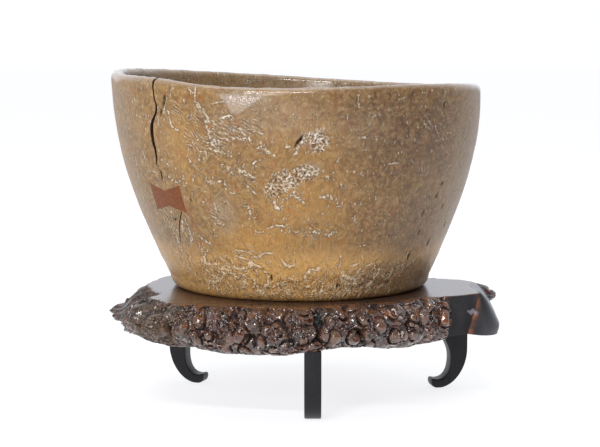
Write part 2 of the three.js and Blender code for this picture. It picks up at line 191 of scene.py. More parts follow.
# Eggs: rounded grains of the burl, each in a socket with a brim round it
EGG_PITCH = 8.2
EGG_SQUASH = 0.72  # heights are drawn together by this first, so the eggs stand taller than they are wide
EGG_RADIUS = 0.5  # this and the next three are shares of the pitch
SOCKET_RADIUS = 0.53
BRIM_RADIUS = 0.66
LINE_WIDTH = 0.05
BUBBLE_PITCH = 2.4
BUBBLE_RADIUS = 0.72
SINK_PASSES = 20  # of smoothing, against which a point counts as sunk or proud
RIDGE_WIDTH = 0.3  # of the worn line down the cut's ridge, degrees
KNOT = (90, -50, 62.7)  # an oval knot in the cut end
KNOT_RADIUS = 3.1
CHIP_GLINT = (99.5, -43.6, 54.3)  # a pale chip in it, partly a painted glint
CHIP_GLINT_FADE = (1.4, 0.2)  # its ragged edge, from clear wood to full chip and glint
BOX_MARGIN = 0.02  # the slab keeps this far inside its solid's box

# Legs: the same driving sizes as the solids
LEG_WIDTH = 9.6
LEG_SHOULDER = 18.5
LEG_SHANK = 10.7
LEG_REACH = 22.7
HOOK_CONTACT = 18.2
HOOK_THICKNESS = 5.4
HOOK_TIP = 3.2
TIP_CORNER = 1
HOOK_EASE = 3
SHOULDER_EASE = 2.5
SHANK_HEIGHT = 18.5
BEND_HEIGHT = 24
LEG_EASE = 0.8
FOOT_FLAT = 0.2
LEG_TOP_GAP = 0.05  # a hair under the slab, so that no two faces lie in one plane
LEGS = {"leg_front": (6.2, -78.5, -90.4), "leg_left": (-63.9, 23.3, 161), "leg_right": (83, 8.6, 11.5)}

SLAB_TOP = LEG_HEIGHT + SLAB_THICKNESS

# Figure of the bowl's wood, placed by direction and height on the wall.
LOW_FADE = (36, 22)  # heights between which the wood turns golden and lighter towards the foot, partly painted light
LIP_FADE = (118.5, 121.5)  # heights between which it turns pale and worn towards the lip
# Where pale curls are dense: [azimuth, height, half width, half height, strength]
CURL_PATCHES = [
    [-118, 19, 26, 11, 0.75], [-128, 24, 8, 9, 0.6], [-121, 7, 36, 6, 0.55], [-104, 20, 8, 8, 0.4],
    [-60, 15, 36, 9, 0.7], [-44, 17, 14, 9, 0.6], [-88, 8, 62, 9, 0.85], [-72, 12, 12, 10, 0.6],
    [-115, 104, 14, 8, 0.5], [-110, 97, 12, 8, 0.5], [-113, 88, 10, 6, 0.55], [-120, 87, 8, 7, 0.55],
    [-121, 72, 11, 9, 0.5], [-96, 63, 12, 6, 0.65], [-105, 76, 9, 6, 0.6], [-111, 77, 6, 4, 0.5],
    [-100, 89, 6, 3.5, 0.6], [-84, 95, 9, 7, 0.7], [-85, 43, 11, 6, 0.7], [-95, 24, 7, 5, 0.5],
    [-90, 63, 6, 5, 0.6], [-130, 38, 12, 20, 0.4], [-127, 66, 8, 7, 0.45], [-48, 101, 6, 5, 0.6],
    [-70, 62, 20, 12, 0.25], [-105, 53, 7, 5, 0.45], [-116, 52, 12, 14, 0.3], [-98, 108, 26, 10, 0.2],
    [-66, 104, 22, 12, 0.2],
]
# Where the figure closes up into a net with dark pits
NET_PATCHES = [
    [-93.2, 72, 9, 6, 1.0], [-87.6, 76.6, 8, 5, 1.0], [-97.4, 66.4, 6, 5, 0.9], [-83.6, 93.8, 6, 7, 0.95],
    [-114, 14, 8, 5, 0.45], [-58, 8, 16, 4, 0.45], [-119, 20, 5, 4, 0.5],
]
# Where it is a soft grey cream: partly bleached wood, partly painted sheen along the left and right edges and
# a painted highlight under the rim
BLEACH_AND_SHEEN_PATCHES = [
    [-95, 107, 30, 12, 0.45], [-132, 90, 8, 20, 0.15], [-70, 100, 18, 12, 0.3], [-150, 100, 7, 30, 0.25],
    [-115, 51, 8, 12, 0.75], [-104, 117, 15, 5, 1.0], [-107, 112, 6, 5, 0.8], [-86, 78, 6, 4, 0.8],
    [-88, 95, 4, 4, 0.8], [-158, 112, 12, 9, 0.4], [-156, 60, 12, 60, 0.25], [-21, 70, 30, 55, 0.55],
    [-106, 119, 6, 3, 0.8], [-40, 50, 26, 40, 0.2],
]
# Where it is umber: partly a stain, partly painted shade on the right side, away from the light
UMBER_AND_SHADE_PATCHES = [
    [-52, 92, 46, 34, 1.0], [-66, 110, 34, 16, 0.9], [-100, 96, 40, 30, 0.3], [-45, 45, 30, 38, 0.75],
    [-44, 10, 40, 16, 1.0], [-66, 62, 22, 44, 0.5], [-20, 90, 30, 50, 0.5], [-117, 111, 7, 7, 0.4],
]
# Where it is a clear golden orange
GOLD_PATCHES = [
    [-103, 38, 24, 9, 0.9], [-93, 62, 22, 20, 0.55], [-92, 90, 22, 14, 0.45], [-78, 50, 18, 26, 0.35],
    [-126, 84, 12, 26, 0.5], [-92, 14, 22, 12, 0.35],
]
# Strokes that stand out by themselves: [width, [azimuth, height], ...]
STROKES = [
    # centre
    [1.7, [-101.3, 89.3], [-99.9, 90.5], [-99.1, 88.9], [-97.7, 87.5]],
    [2, [-87.8, 96.1], [-89.2, 90.6], [-90.5, 86.3]],
    [1.4, [-87.8, 96.1], [-85.8, 95]],
    [2, [-92.9, 91.2], [-92.1, 90.1]],
    [3.6, [-85.1, 76.3], [-84, 75.4]],
    [1.1, [-90.9, 66.1], [-91.2, 63.6], [-90.3, 61.9], [-89.2, 62.4], [-89.6, 64.1]],
    [1.5, [-83, 62], [-81.5, 62], [-80.2, 62.8], [-78.6, 60.5], [-77.3, 61.3]],
    [2, [-97.1, 59.5], [-96.7, 56.1], [-95.3, 55.8]],
    [1.9, [-105.8, 55.1], [-105.7, 51.4]],
    [3, [-111.1, 77.8], [-110.2, 77.3]],
    [2.3, [-107.6, 78.3], [-105.8, 75.3], [-102.9, 73]],
    [1.2, [-110.2, 75], [-109, 74.3]],
    [1.2, [-106.7, 69.7], [-104.6, 67.3], [-103.6, 65.3], [-103.2, 64.2]],
    [1.3, [-111.3, 63.8], [-109.8, 63.4]],
    [1.2, [-103.1, 79.5], [-102.7, 81.5], [-101.1, 82.9]],
    [1.2, [-78.2, 81.3], [-77.6, 83.8]],
    [1.6, [-80.9, 73.5], [-80.7, 72.2]],
    [1.2, [-79.2, 76.1], [-78.9, 75.8]],
    [1.5, [-96.7, 85.9], [-96.4, 85.6]],
    [1.2, [-115, 69.6], [-112.8, 70.8], [-112.7, 68.2]],
    [1.2, [-88.4, 60.5], [-88, 57.4]],
    [1.3, [-117.9, 57], [-116.7, 54.3]],
    [1.1, [-107.8, 56.7], [-106.3, 56.5]],
    [1.2, [-116.4, 93.7], [-114.8, 92.8]],
    [1.1, [-115.6, 91.1], [-112.5, 88.6]],
    [1.1, [-114.8, 92.6], [-111.4, 90.1]],
    [1.1, [-116.4, 88.5], [-113.6, 86.8]],
    # right
    [1.1, [-72, 118.3], [-71.9, 115.8]],
    [1.1, [-71.7, 113.4], [-71.6, 111.4]],
    [1.2, [-75.1, 107.1], [-75.2, 105.3]],
    [1.2, [-67.3, 106.4], [-66.6, 107]],
    [1.1, [-57.1, 105.7], [-57, 103.8]],
    [1, [-61.3, 79.7], [-57.3, 79.8]],
    [1.2, [-70.7, 95.2], [-69, 94.6]],
    [1, [-70.8, 87.6], [-69.4, 88.1]],
    [1, [-44.4, 100.1], [-44.1, 97.9]],
    [1, [-43.4, 96.4], [-42.4, 93.2]],
    [1.1, [-40.6, 92.2], [-39.2, 90.4]],
    [1, [-38.3, 95.2], [-36.4, 95]],
    [1, [-48.5, 77.1], [-47.9, 74.2]],
    [1.1, [-59.3, 115.5], [-58.7, 114.1]],
    [1.2, [-57.6, 115.9], [-56.7, 116.4]],
    [1, [-49.5, 102.4], [-48, 98.9], [-46.6, 100.5], [-47.5, 102.8]],
    [1.1, [-70.2, 75], [-69.6, 73.3]],
    [1.1, [-52.8, 81], [-52.4, 79.8]],
    [1.1, [-66.1, 94.5], [-65.9, 93.2]],
    [1.1, [-59.8, 74.3], [-59.4, 74.7]],
    [1.1, [-76.6, 69.2], [-75.6, 66.9]],
    [1.1, [-40.5, 118.1], [-40.7, 113.9]],
    # bottom left
    [
        1.3, [-113.7, 27], [-109.7, 25.2], [-106.5, 22.2], [-103.7, 19.1], [-102.4, 15.4], [-103, 11.6],
        [-104.9, 7.7], [-106.9, 4.6],
    ],
    [1.3, [-105.4, 26.5], [-102.4, 29.3], [-99.8, 29.4]],
    [1.2, [-113.3, 30.2], [-108.7, 29.8], [-106, 26.5]],
    [1.2, [-125.6, 29.4], [-127.7, 26.5], [-128.8, 21.1], [-127.7, 20.1]],
    [1.2, [-128.8, 21.1], [-125.7, 20.6], [-122.5, 21.8]],
    [1.1, [-128.6, 29.6], [-129.2, 24.2], [-130.1, 19.8], [-131.8, 17.4]],
    [1.2, [-130.8, 17.5], [-129.2, 15.1], [-126.6, 12.7], [-124.1, 12]],
    [1.2, [-131.4, 10], [-128.4, 9.8], [-123.6, 12]],
    [1.1, [-120.8, 25.7], [-119, 22.8], [-116.3, 20.9], [-114.2, 19.4]],
    [1.5, [-116.2, 21.4], [-114.2, 19.4], [-110.7, 20.3], [-108, 22.1], [-109.6, 23.1]],
    [1.1, [-128.2, 37.5], [-127, 35.6], [-125, 33.7], [-124, 32.8]],
    [1.6, [-124.1, 33.1], [-123.8, 32.5]],
    [1.5, [-132.5, 45.7], [-132, 42.7], [-132.1, 38.5], [-133.3, 32.1]],
    [1.1, [-134, 45.5], [-136.5, 37.9]],
    [1.2, [-120.4, 41.1], [-120.5, 39], [-119.6, 37.5]],
    [1.3, [-99.8, 44.2], [-98.2, 45.5], [-95.8, 45.8], [-92.9, 44.5]],
    [1.2, [-104.6, 42.1], [-103.4, 41.5], [-102, 42]],
    [1.6, [-96.1, 25.3], [-95.2, 22.7], [-93.9, 21.6], [-91.9, 22.2]],
    [1.3, [-86.2, 18.5], [-87.5, 15.2], [-87.5, 13.1]],
    [1.2, [-132.5, 5.4], [-128.8, 7], [-126.8, 5.7], [-126.7, 2.9]],
    [1.3, [-108.4, 12.9], [-107.7, 9.8], [-106.6, 6.5]],
    [1.2, [-113.6, 16.3], [-112.6, 13.1], [-111.9, 10]],
    [1.2, [-122.1, 17.8], [-121.3, 15.2], [-119, 16.9], [-119.8, 18.7], [-122.1, 17.8]],
    [1.1, [-112.6, 15.7], [-110.9, 14.2], [-112.6, 12.1]],
    [1.1, [-140.4, 35.5], [-141.7, 29.4]],
    [1.2, [-140.8, 28.4], [-142.6, 22.1]],
    [1.1, [-140.6, 20], [-141.9, 13.8]],
    [1.1, [-137.4, 16.9], [-138.2, 12]],
    [1.1, [-120.6, 10.1], [-119.3, 7.2], [-121.1, 4]],
    # bottom right
    [1.5, [-85.5, 40.1], [-84.3, 42.2], [-82.8, 41.1]],
    [1.7, [-80.9, 40.5], [-79.4, 40], [-77.9, 41.9]],
    [1.3, [-88, 13.1], [-87.3, 16.8], [-86, 19.4], [-83.9, 19.9]],
    [2, [-83.6, 19.9], [-82.5, 20.5]],
    [1.1, [-74.6, 20.1], [-74.3, 23.3], [-74.3, 27]],
    [1.2, [-63.3, 20.8], [-60.3, 21.9]],
    [1.1, [-58.1, 20.8], [-57, 17.5], [-57.6, 14.3], [-59.6, 11.4], [-59.8, 8.1], [-58.9, 5.8]],
    [1.2, [-54.3, 13.4], [-52.4, 11.5], [-50.4, 12.9], [-50.3, 17.7]],
    [1.1, [-72.8, 15.7], [-69.7, 15], [-65.2, 15.7]],
    [1.1, [-71.2, 14], [-68, 13.2], [-64.2, 13.9]],
    [1.1, [-70, 10.6], [-66.1, 10.6]],
    [1.2, [-64.7, 1.5], [-63.8, 4.1]],
    [1.2, [-80.4, 9.6], [-81.4, 5.3]],
    [1.1, [-48.1, 3.9], [-49.3, 2.4]],
    [1.1, [-74.4, 6.2], [-68.7, 6.4]],
    [1.2, [-69.6, 21.3], [-67.3, 22.3]],
    [1.5, [-71.1, 50.3], [-70.5, 47.3]],
    [1.2, [-43.1, 21.2], [-44.5, 24.4], [-44, 26.4]],
    [1, [-66.7, 17.5], [-65, 20.9]],
    [1.1, [-67.3, 33], [-65.4, 33.5]],
    # upper left
    [1.6, [-119.2, 113.6], [-116.9, 107.7], [-115.4, 103.7]],
    [1, [-119.9, 122.5], [-119.9, 113.5], [-117.8, 106.2]],
    [1.2, [-114.6, 112.9], [-112.2, 114.6], [-109.4, 114.9]],
    [1.1, [-130.3, 106.7], [-129.3, 98.7], [-126.5, 96.4]],
    [1.1, [-123.4, 104.8], [-122.8, 103], [-121.8, 104.5], [-122.5, 105.7], [-123.4, 104.8]],
    [1.7, [-112, 105.4], [-108.9, 107.2], [-108.1, 105.8]],
    [1.3, [-117, 103.6], [-116.1, 98], [-113.5, 99.7]],
    [1.2, [-116.6, 96.5], [-115.1, 93.9], [-112.3, 92.8]],
    [1.4, [-107.9, 100.9], [-106.4, 100.3], [-105, 97.5], [-102.8, 92.7]],
    [1.2, [-124.4, 82.7], [-123.8, 79.2], [-122.5, 78]],
    [1.3, [-119.9, 86.2], [-118.1, 86.4], [-117.9, 83.6]],
    [1.1, [-121.1, 82.5], [-119.9, 80.5]],
    [1.1, [-136.3, 78.7], [-133.1, 76.4]],
    [1.1, [-128, 74.1], [-128.1, 70.1]],
    [1.1, [-124.6, 69.2], [-123.1, 72.9]],
    [1.2, [-135.4, 70.5], [-131.3, 67.5], [-128.8, 69.3]],
    [1, [-143.2, 72.2], [-140.5, 71.4]],
    [1.3, [-152.5, 80.2], [-152.8, 72.3], [-154.3, 66.4]],
    [1.2, [-146.1, 82.4], [-145.5, 78.2]],
    [1, [-131.2, 110.9], [-132.3, 105.8]],
    [1, [-128.5, 120.5], [-129, 115]],
    [1, [-124.1, 114.4], [-123.9, 110.6]],
    [1.1, [-134.8, 107.5], [-135.3, 98.9]],
    [1, [-156.3, 59.6], [-156.9, 49.2]],
    [1, [-148.6, 57.9], [-149.1, 46.9]],
    [1.2, [-107.5, 95.7], [-105.1, 93.6]],
    [1.1, [-102.3, 99.9], [-99.7, 97.7]],
    [1.1, [-122.2, 120.7], [-120.8, 118.2]],
]
# Patches of fine parallel ridges
HATCH_PATCHES = [
    [-112, 98, 12, 8, 1.0], [-115, 90, 10, 6, 1.0], [-122, 94, 8, 10, 0.9], [-104, 100, 14, 8, 0.8],
    [-120, 104, 8, 8, 0.7], [-119, 10, 20, 8, 0.6], [-62, 12, 22, 8, 0.7], [-88, 5, 44, 7, 0.7],
    [-128, 108, 8, 8, 0.8], [-104, 115, 14, 6, 0.8], [-140, 34, 10, 22, 0.6], [-48, 20, 12, 8, 0.6],
    [-118, 50, 9, 10, 0.7], [-100, 92, 8, 4, 0.4],
]
# Patches of upright ridges
UPRIGHT_PATCHES = [
    [-142, 36, 16, 34, 1.0], [-128, 14, 14, 12, 1.0], [-152, 92, 16, 34, 0.6], [-78, 14, 16, 12, 0.75],
    [-112, 10, 16, 9, 0.6], [-36, 40, 22, 50, 0.35], [-134, 104, 6, 14, 0.5],
]
# Dark pits and short cracks: [azimuth, height, half width, half height, depth, lean]
PITS = [
    [-89.2, 93.9, 0.7, 3.6, 1.4, 0.75], [-138.1, 45.3, 1.9, 0.6, 1.3, -0.2],
    [-131.8, 112, 0.8, 3.6, 1.6, 0.3], [-133.6, 105, 0.6, 2.4, 1.2, 0.3], [-40.5, 111.2, 0.6, 2.2, 1.2, 0.1],
    [-37.2, 59.4, 0.7, 1.5, 1.2, 0.2],
    [-42.5, 49.6, 0.6, 1.6, 1.2, 0.2], [-41.7, 38.3, 0.6, 1.4, 1.1, 0.2], [-32.6, 31, 0.6, 2.6, 1.1, 0.3],
    [-22.8, 40.1, 0.6, 1.6, 1.0, 0.2], [-43, 23.6, 1.3, 2.2, 1.5, 0.1], [-36, 66, 0.7, 1.2, 1.1, 0.2],
    [-31, 52, 0.6, 1.5, 1.0, 0.2], [-109.6, 117.7, 0.4, 0.7, 0.6, 0.6], [-106, 118.3, 0.35, 0.5, 0.5, 0],
    [-103.3, 117.1, 0.4, 0.8, 0.6, -0.5], [-101.2, 14, 0.4, 2.6, 0.8, 0.1], [-93.6, 73.8, 0.8, 0.8, 1.0, 0],
    [-90, 77, 0.8, 0.7, 1.0, 0], [-96.4, 72, 0.7, 0.8, 1.0, 0], [-87.8, 75.6, 0.7, 0.7, 1.0, 0],
    [-64, 9, 1.6, 0.8, 1.2, 0], [-50, 10, 1.2, 0.9, 1.2, 0], [-74, 9.4, 1.6, 0.7, 1.1, 0],
    [-127.4, 58, 0.5, 1.8, 0.8, 0.1], [-118, 103, 0.8, 0.5, 0.7, 0], [60, 90, 0.9, 2.4, 1.2, 0.2],
    [95, 50, 1.4, 1.0, 1.2, 0], [140, 75, 0.8, 2.2, 1.1, 0.3],
]
# Fans of fine ridges that spread from a point: [azimuth, height, reach, ridges in a full turn]
FANS = [[-60, 4, 15, 40], [70, 100, 22, 46]]
# Where on the unrolled wall the fan under the rim starts, a painted highlight of a glossy facet that catches
# the light
FAN_SPOT = (-30.7, 109.0)
# Ringed eyes: [azimuth, height, reach, ring spacing]
EYES = [[-117.4, 112.4, 10, 3.1], [-113.4, 12, 9, 3.0], [-48, 12, 9, 3.0], [120, 40, 12, 3.4]]

# The photograph's view
CAMERA_PLACE = (-0.0037, -1.032, 0.2178)  # metres
CAMERA_PITCH = 6.42  # degrees down from level
CAMERA_LENS = 103.2  # on a sensor 36 wide


def linear(hex_colour):
    """An sRGB hex value as linear RGBA."""
    channels = [int(hex_colour[i : i + 2], 16) / 255 for i in (1, 3, 5)]
    return [c / 12.92 if c <= 0.04045 else ((c + 0.055) / 1.055) ** 2.4 for c in channels] + [1.0]


def feed(tree, socket, value):
    """Links a socket to another node's output, or sets it to a number, a vector or a hex colour."""
    if isinstance(value, bpy.types.NodeSocket):
        tree.links.new(value, socket)
    else:
        socket.default_value = linear(value) if isinstance(value, str) else value


def add(tree, kind, inputs=(), give=None, stops=(), **settings):
    """Adds a node with its settings, sets or links its inputs by name or by place, and gives one output."""
    node = tree.nodes.new("ShaderNode" + kind)
    for name, value in settings.items():
        setattr(node, name, value)
    sockets = [socket for socket in node.inputs if socket.enabled]
    for key, value in inputs.items() if isinstance(inputs, dict) else enumerate(inputs):
        socket = sockets[key] if isinstance(key, int) else next(s for s in sockets if s.name == key)
        feed(tree, socket, value)
    for i, (position, colour) in enumerate(stops):
        elements = node.color_ramp.elements
        element = elements[i] if i < len(elements) else elements.new(1)
        element.position = position
        element.color = linear(colour)
    return next(s for s in node.outputs if s.enabled and give in (None, s.name))


def fresh_material(name):
    material = bpy.data.materials.new(name)
    material.use_nodes = True
    return material, material.node_tree


def finished(material, sockets):
    """Gives the material's shader its patterns, and the values that are the same all over the surface."""
    tree = material.node_tree
    for name, value in sockets.items():
        feed(tree, tree.nodes["Principled BSDF"].inputs[name], value)
    return material


def place_on(tree, centre, turn=(0, 0, 0), stretch=(1, 1, 1)):
    """Object coordinates in millimetres from centre, turned and stretched for grain."""
    settings = {
        "Vector": add(tree, "TexCoord", give="Object"),
        "Location": [-c * s / MM for c, s in zip(centre, stretch)],
        "Rotation": turn,
        "Scale": [s / MM for s in stretch],
    }
    return add(tree, "Mapping", settings, vector_type="POINT")


def curling(tree, place, size, reach):
    """A place pushed about by a soft noise, so that a pattern drawn there curls."""
    push = add(tree, "TexNoise", {"Vector": place, "Scale": 1 / size, "Detail": 1.0}, give="Color")
    centred = add(tree, "VectorMath", (push, (0.5, 0.5, 0.5)), operation="SUBTRACT")
    scaled = add(tree, "VectorMath", {"Vector": centred, "Scale": 2.0 * reach}, operation="SCALE")
    return add(tree, "VectorMath", (place, scaled), operation="ADD")


def marks_of(tree, names):
    """The marks that a piece carries for its material, by name."""
    return {name: add(tree, "Attribute", give="Fac", attribute_name=name) for name in names.split()}


def kept(tree, pattern, share, place, size, edge):
    """A pattern kept only where share is high, with an uneven edge of size-long breaks."""
    breaks = add(tree, "TexNoise", {"Vector": place, "Scale": 1 / size, "Detail": 2.0}, give="Fac")
    total = add(tree, "Math", (share, breaks), operation="ADD")
    mask = add(tree, "MapRange", (total, 0.86 - edge, 0.86 + edge, 0.0, 1.0), interpolation_type="SMOOTHSTEP")
    return add(tree, "Math", (pattern, mask), operation="MULTIPLY")


def tinted(tree, colour, mask, strength, tint):
    """A colour taken towards a tint where the mask is high, by up to the strength."""
    share = add(tree, "Math", (mask, strength), operation="MULTIPLY")
    return add(tree, "Mix", (share, colour, tint), data_type="RGBA")


def strongest(tree, base, patterns):
    """The highest of a base and several patterns, each times its own strength."""
    for pattern, strength in patterns:
        scaled = add(tree, "Math", (pattern, strength), operation="MULTIPLY")
        base = add(tree, "Math", (base, scaled), operation="MAXIMUM")
    return base


def burl_ground(tree, marks, solid, soft, tight):
    """The wood's colour under its figure, and the noises in it that the strokes and the relief follow too."""
    # Golden ochre clouds 30 mm across, mottled brown and fawn at 5 mm.
    broad = add(tree, "TexNoise", {"Vector": solid, "Scale": 1 / 30, "Detail": 4.0, "Roughness": 0.6})
    clouds = [(0.32, "#78552c"), (0.45, "#8f6b35"), (0.56, "#9f783f"), (0.7, "#a48857")]
    ground = add(tree, "ValToRGB", (broad,), stops=clouds)
    mottle = add(tree, "TexNoise", {"Vector": soft, "Scale": 1 / 5, "Detail": 5.0, "Roughness": 0.66})
    mottles = [(0.3, "#573a1a"), (0.45, "#8d622c"), (0.57, "#aa7f44"), (0.72, "#b89f74")]
    mottled = add(tree, "ValToRGB", (mottle,), stops=mottles)
    ground = add(tree, "Mix", (0.6, ground, mottled), data_type="RGBA")
    # Olive-grey and dark brown smudges 2 to 3 mm across.
    smudge = add(tree, "TexNoise", {"Vector": tight, "Scale": 1 / 2.4, "Detail": 3.0, "Roughness": 0.6})
    smudged = add(tree, "ValToRGB", (smudge,), stops=[(0.3, "#4a331a"), (0.5, "#8d6f40"), (0.68, "#bba37a")])
    smudge_share = add(tree, "MapRange", (broad, 0.35, 0.6, 0.5, 0.26))
    ground = add(tree, "Mix", (smudge_share, ground, smudged), data_type="RGBA")
    # Rusty spots about 8 mm across, and a clear golden orange where that is marked.
    rust = add(tree, "TexNoise", {"Vector": soft, "Scale": 1 / 8, "Detail": 3.0})
    rust = add(tree, "MapRange", (rust, 0.55, 0.7, 0.0, 0.5))
    ground = add(tree, "Mix", (rust, ground, "#9a5415"), data_type="RGBA")
    ground = tinted(tree, ground, marks["gold"], 0.5, "#c98f3e")
    # Umber with its own smudges, partly a stain and partly painted shade on the right; a golden foot where
    # there is none, partly painted light; and bleached places, partly painted sheen.
    blotchy = add(tree, "MapRange", (mottle, 0.35, 0.65, 0.9, 0.6))
    stain_and_shade = add(tree, "ValToRGB", (smudge,), stops=[(0.36, "#432a1a"), (0.5, "#5b3f2a"), (0.64, "#7c6045")])
    ground = tinted(tree, ground, marks["umber"], blotchy, stain_and_shade)
    # Painted light in part: the foot golden and lighter where there is no umber.
    outside_stain_and_shade = add(tree, "MapRange", (marks["umber"], 0.1, 0.7, 0.85, 0.15))
    ground = tinted(tree, ground, marks["low"], outside_stain_and_shade, "#cf9f5c")
    # Soft grey cream: bleached places, and painted sheen and highlight where the patches lie at the edges and
    # under the rim.
    bleach_and_sheen_share = add(tree, "MapRange", (mottle, 0.35, 0.62, 0.35, 0.95))
    ground = tinted(tree, ground, marks["bleach"], bleach_and_sheen_share, "#9b8870")
    # Fine satin streaks, 0.9 mm wide and 5 mm long, that follow the figure.
    streaks = add(tree, "Mapping", {"Vector": soft, "Rotation": (0, 0, 0.5), "Scale": (1.0, 0.2, 1.0)})
    streaks = add(tree, "TexNoise", {"Vector": streaks, "Scale": 1 / 0.9, "Detail": 2.0})
    streak = add(tree, "MapRange", (streaks, 0.3, 0.7, 0.65, 0.94))
    ground = add(tree, "VectorMath", {"Vector": ground, "Scale": streak}, operation="SCALE")
    return ground, broad, mottle, streaks


def burl_flecks(tree, marks, wall):
    """Pale dots and upright dashes, half a millimetre wide, and a few grains twice that, and the banks round
    them, dark as painted shade.
    """
    dashes = curling(tree, curling(tree, wall, 6, 0.8), 1.6, 0.45)
    dashes = add(tree, "Mapping", {"Vector": dashes, "Scale": (1.0, 0.65, 1.0)})
    crowd = add(tree, "TexNoise", {"Vector": wall, "Scale": 1 / 13, "Detail": 1.0}, noise_dimensions="2D")
    crowd = add(tree, "MapRange", (crowd, 0.35, 0.6, 0.3, 1.0))
    outside_bleach_and_sheen = add(tree, "Math", (marks["bleach"], -0.9, 1.0), operation="MULTIPLY_ADD")
    crowd = add(tree, "Math", (crowd, outside_bleach_and_sheen), operation="MULTIPLY")
    flecks, banks = [], []
    for size, inner, outer, least in ((2.5, 0.1, 0.2, 0.52), (5.6, 0.07, 0.125, 0.5)):
        cells = {"Vector": dashes, "Scale": 1 / size}
        away = add(tree, "TexVoronoi", cells, give="Distance", feature="F1", voronoi_dimensions="2D")
        picked = add(tree, "TexVoronoi", cells, give="Color", feature="F1", voronoi_dimensions="2D")
        picked = add(tree, "MapRange", (picked, least, least + 0.3, 0.0, 1.0))
        picked = add(tree, "Math", (picked, crowd), operation="MULTIPLY")
        for kind, start, end in ((flecks, inner, outer), (banks, outer * 0.9, outer * 1.9)):
            dots = add(tree, "MapRange", (away, start, end, 1.0, 0.0))
            kind.append(add(tree, "Math", (dots, picked), operation="MULTIPLY"))
    return flecks, banks


def fan_highlight(tree, wall, crumb):
    """The fan under the rim, a painted highlight: a pale wedge that opens upward, and short speckled rays in
    it.
    """
    apart = add(tree, "VectorMath", (wall, (*FAN_SPOT, 0)), operation="SUBTRACT")
    around = add(tree, "SeparateXYZ", (apart,), give="X")
    above = add(tree, "SeparateXYZ", (apart,), give="Y")
    aside = add(tree, "Math", (above, -0.4, around), operation="MULTIPLY_ADD")
    aside = add(tree, "Math", (aside,), operation="ABSOLUTE")
    half_width = add(tree, "Math", (above, 1.1, 1.5), operation="MULTIPLY_ADD")
    aside = add(tree, "Math", (aside, half_width), operation="DIVIDE")
    wedge = add(tree, "MapRange", (aside, 0.7, 1.05, 1.0, 0.0))
    started = add(tree, "MapRange", (above, -1.0, 0.5, 0.0, 1.0))
    topmost = add(tree, "MapRange", (above, 9.5, 11.5, 1.0, 0.0))
    ends = add(tree, "Math", (topmost, started), operation="MULTIPLY")
    highlight_wedge = add(tree, "Math", (wedge, ends), operation="MULTIPLY")
    heading = add(tree, "Math", (above, around), operation="ARCTAN2")
    speckle = add(tree, "Math", (crumb, 26.0), operation="MULTIPLY")
    wave = add(tree, "Math", (heading, 33.0, speckle), operation="MULTIPLY_ADD")
    wave = add(tree, "Math", (wave,), operation="SINE")
    highlight_rays = add(tree, "MapRange", (wave, -0.5, 0.5, 0.15, 1.0))
    upward = add(tree, "MapRange", (above, 3.5, 7.5, 0.16, 1.0))
    for share in (wedge, upward, ends):
        highlight_rays = add(tree, "Math", (highlight_rays, share), operation="MULTIPLY")
    return highlight_rays, highlight_wedge


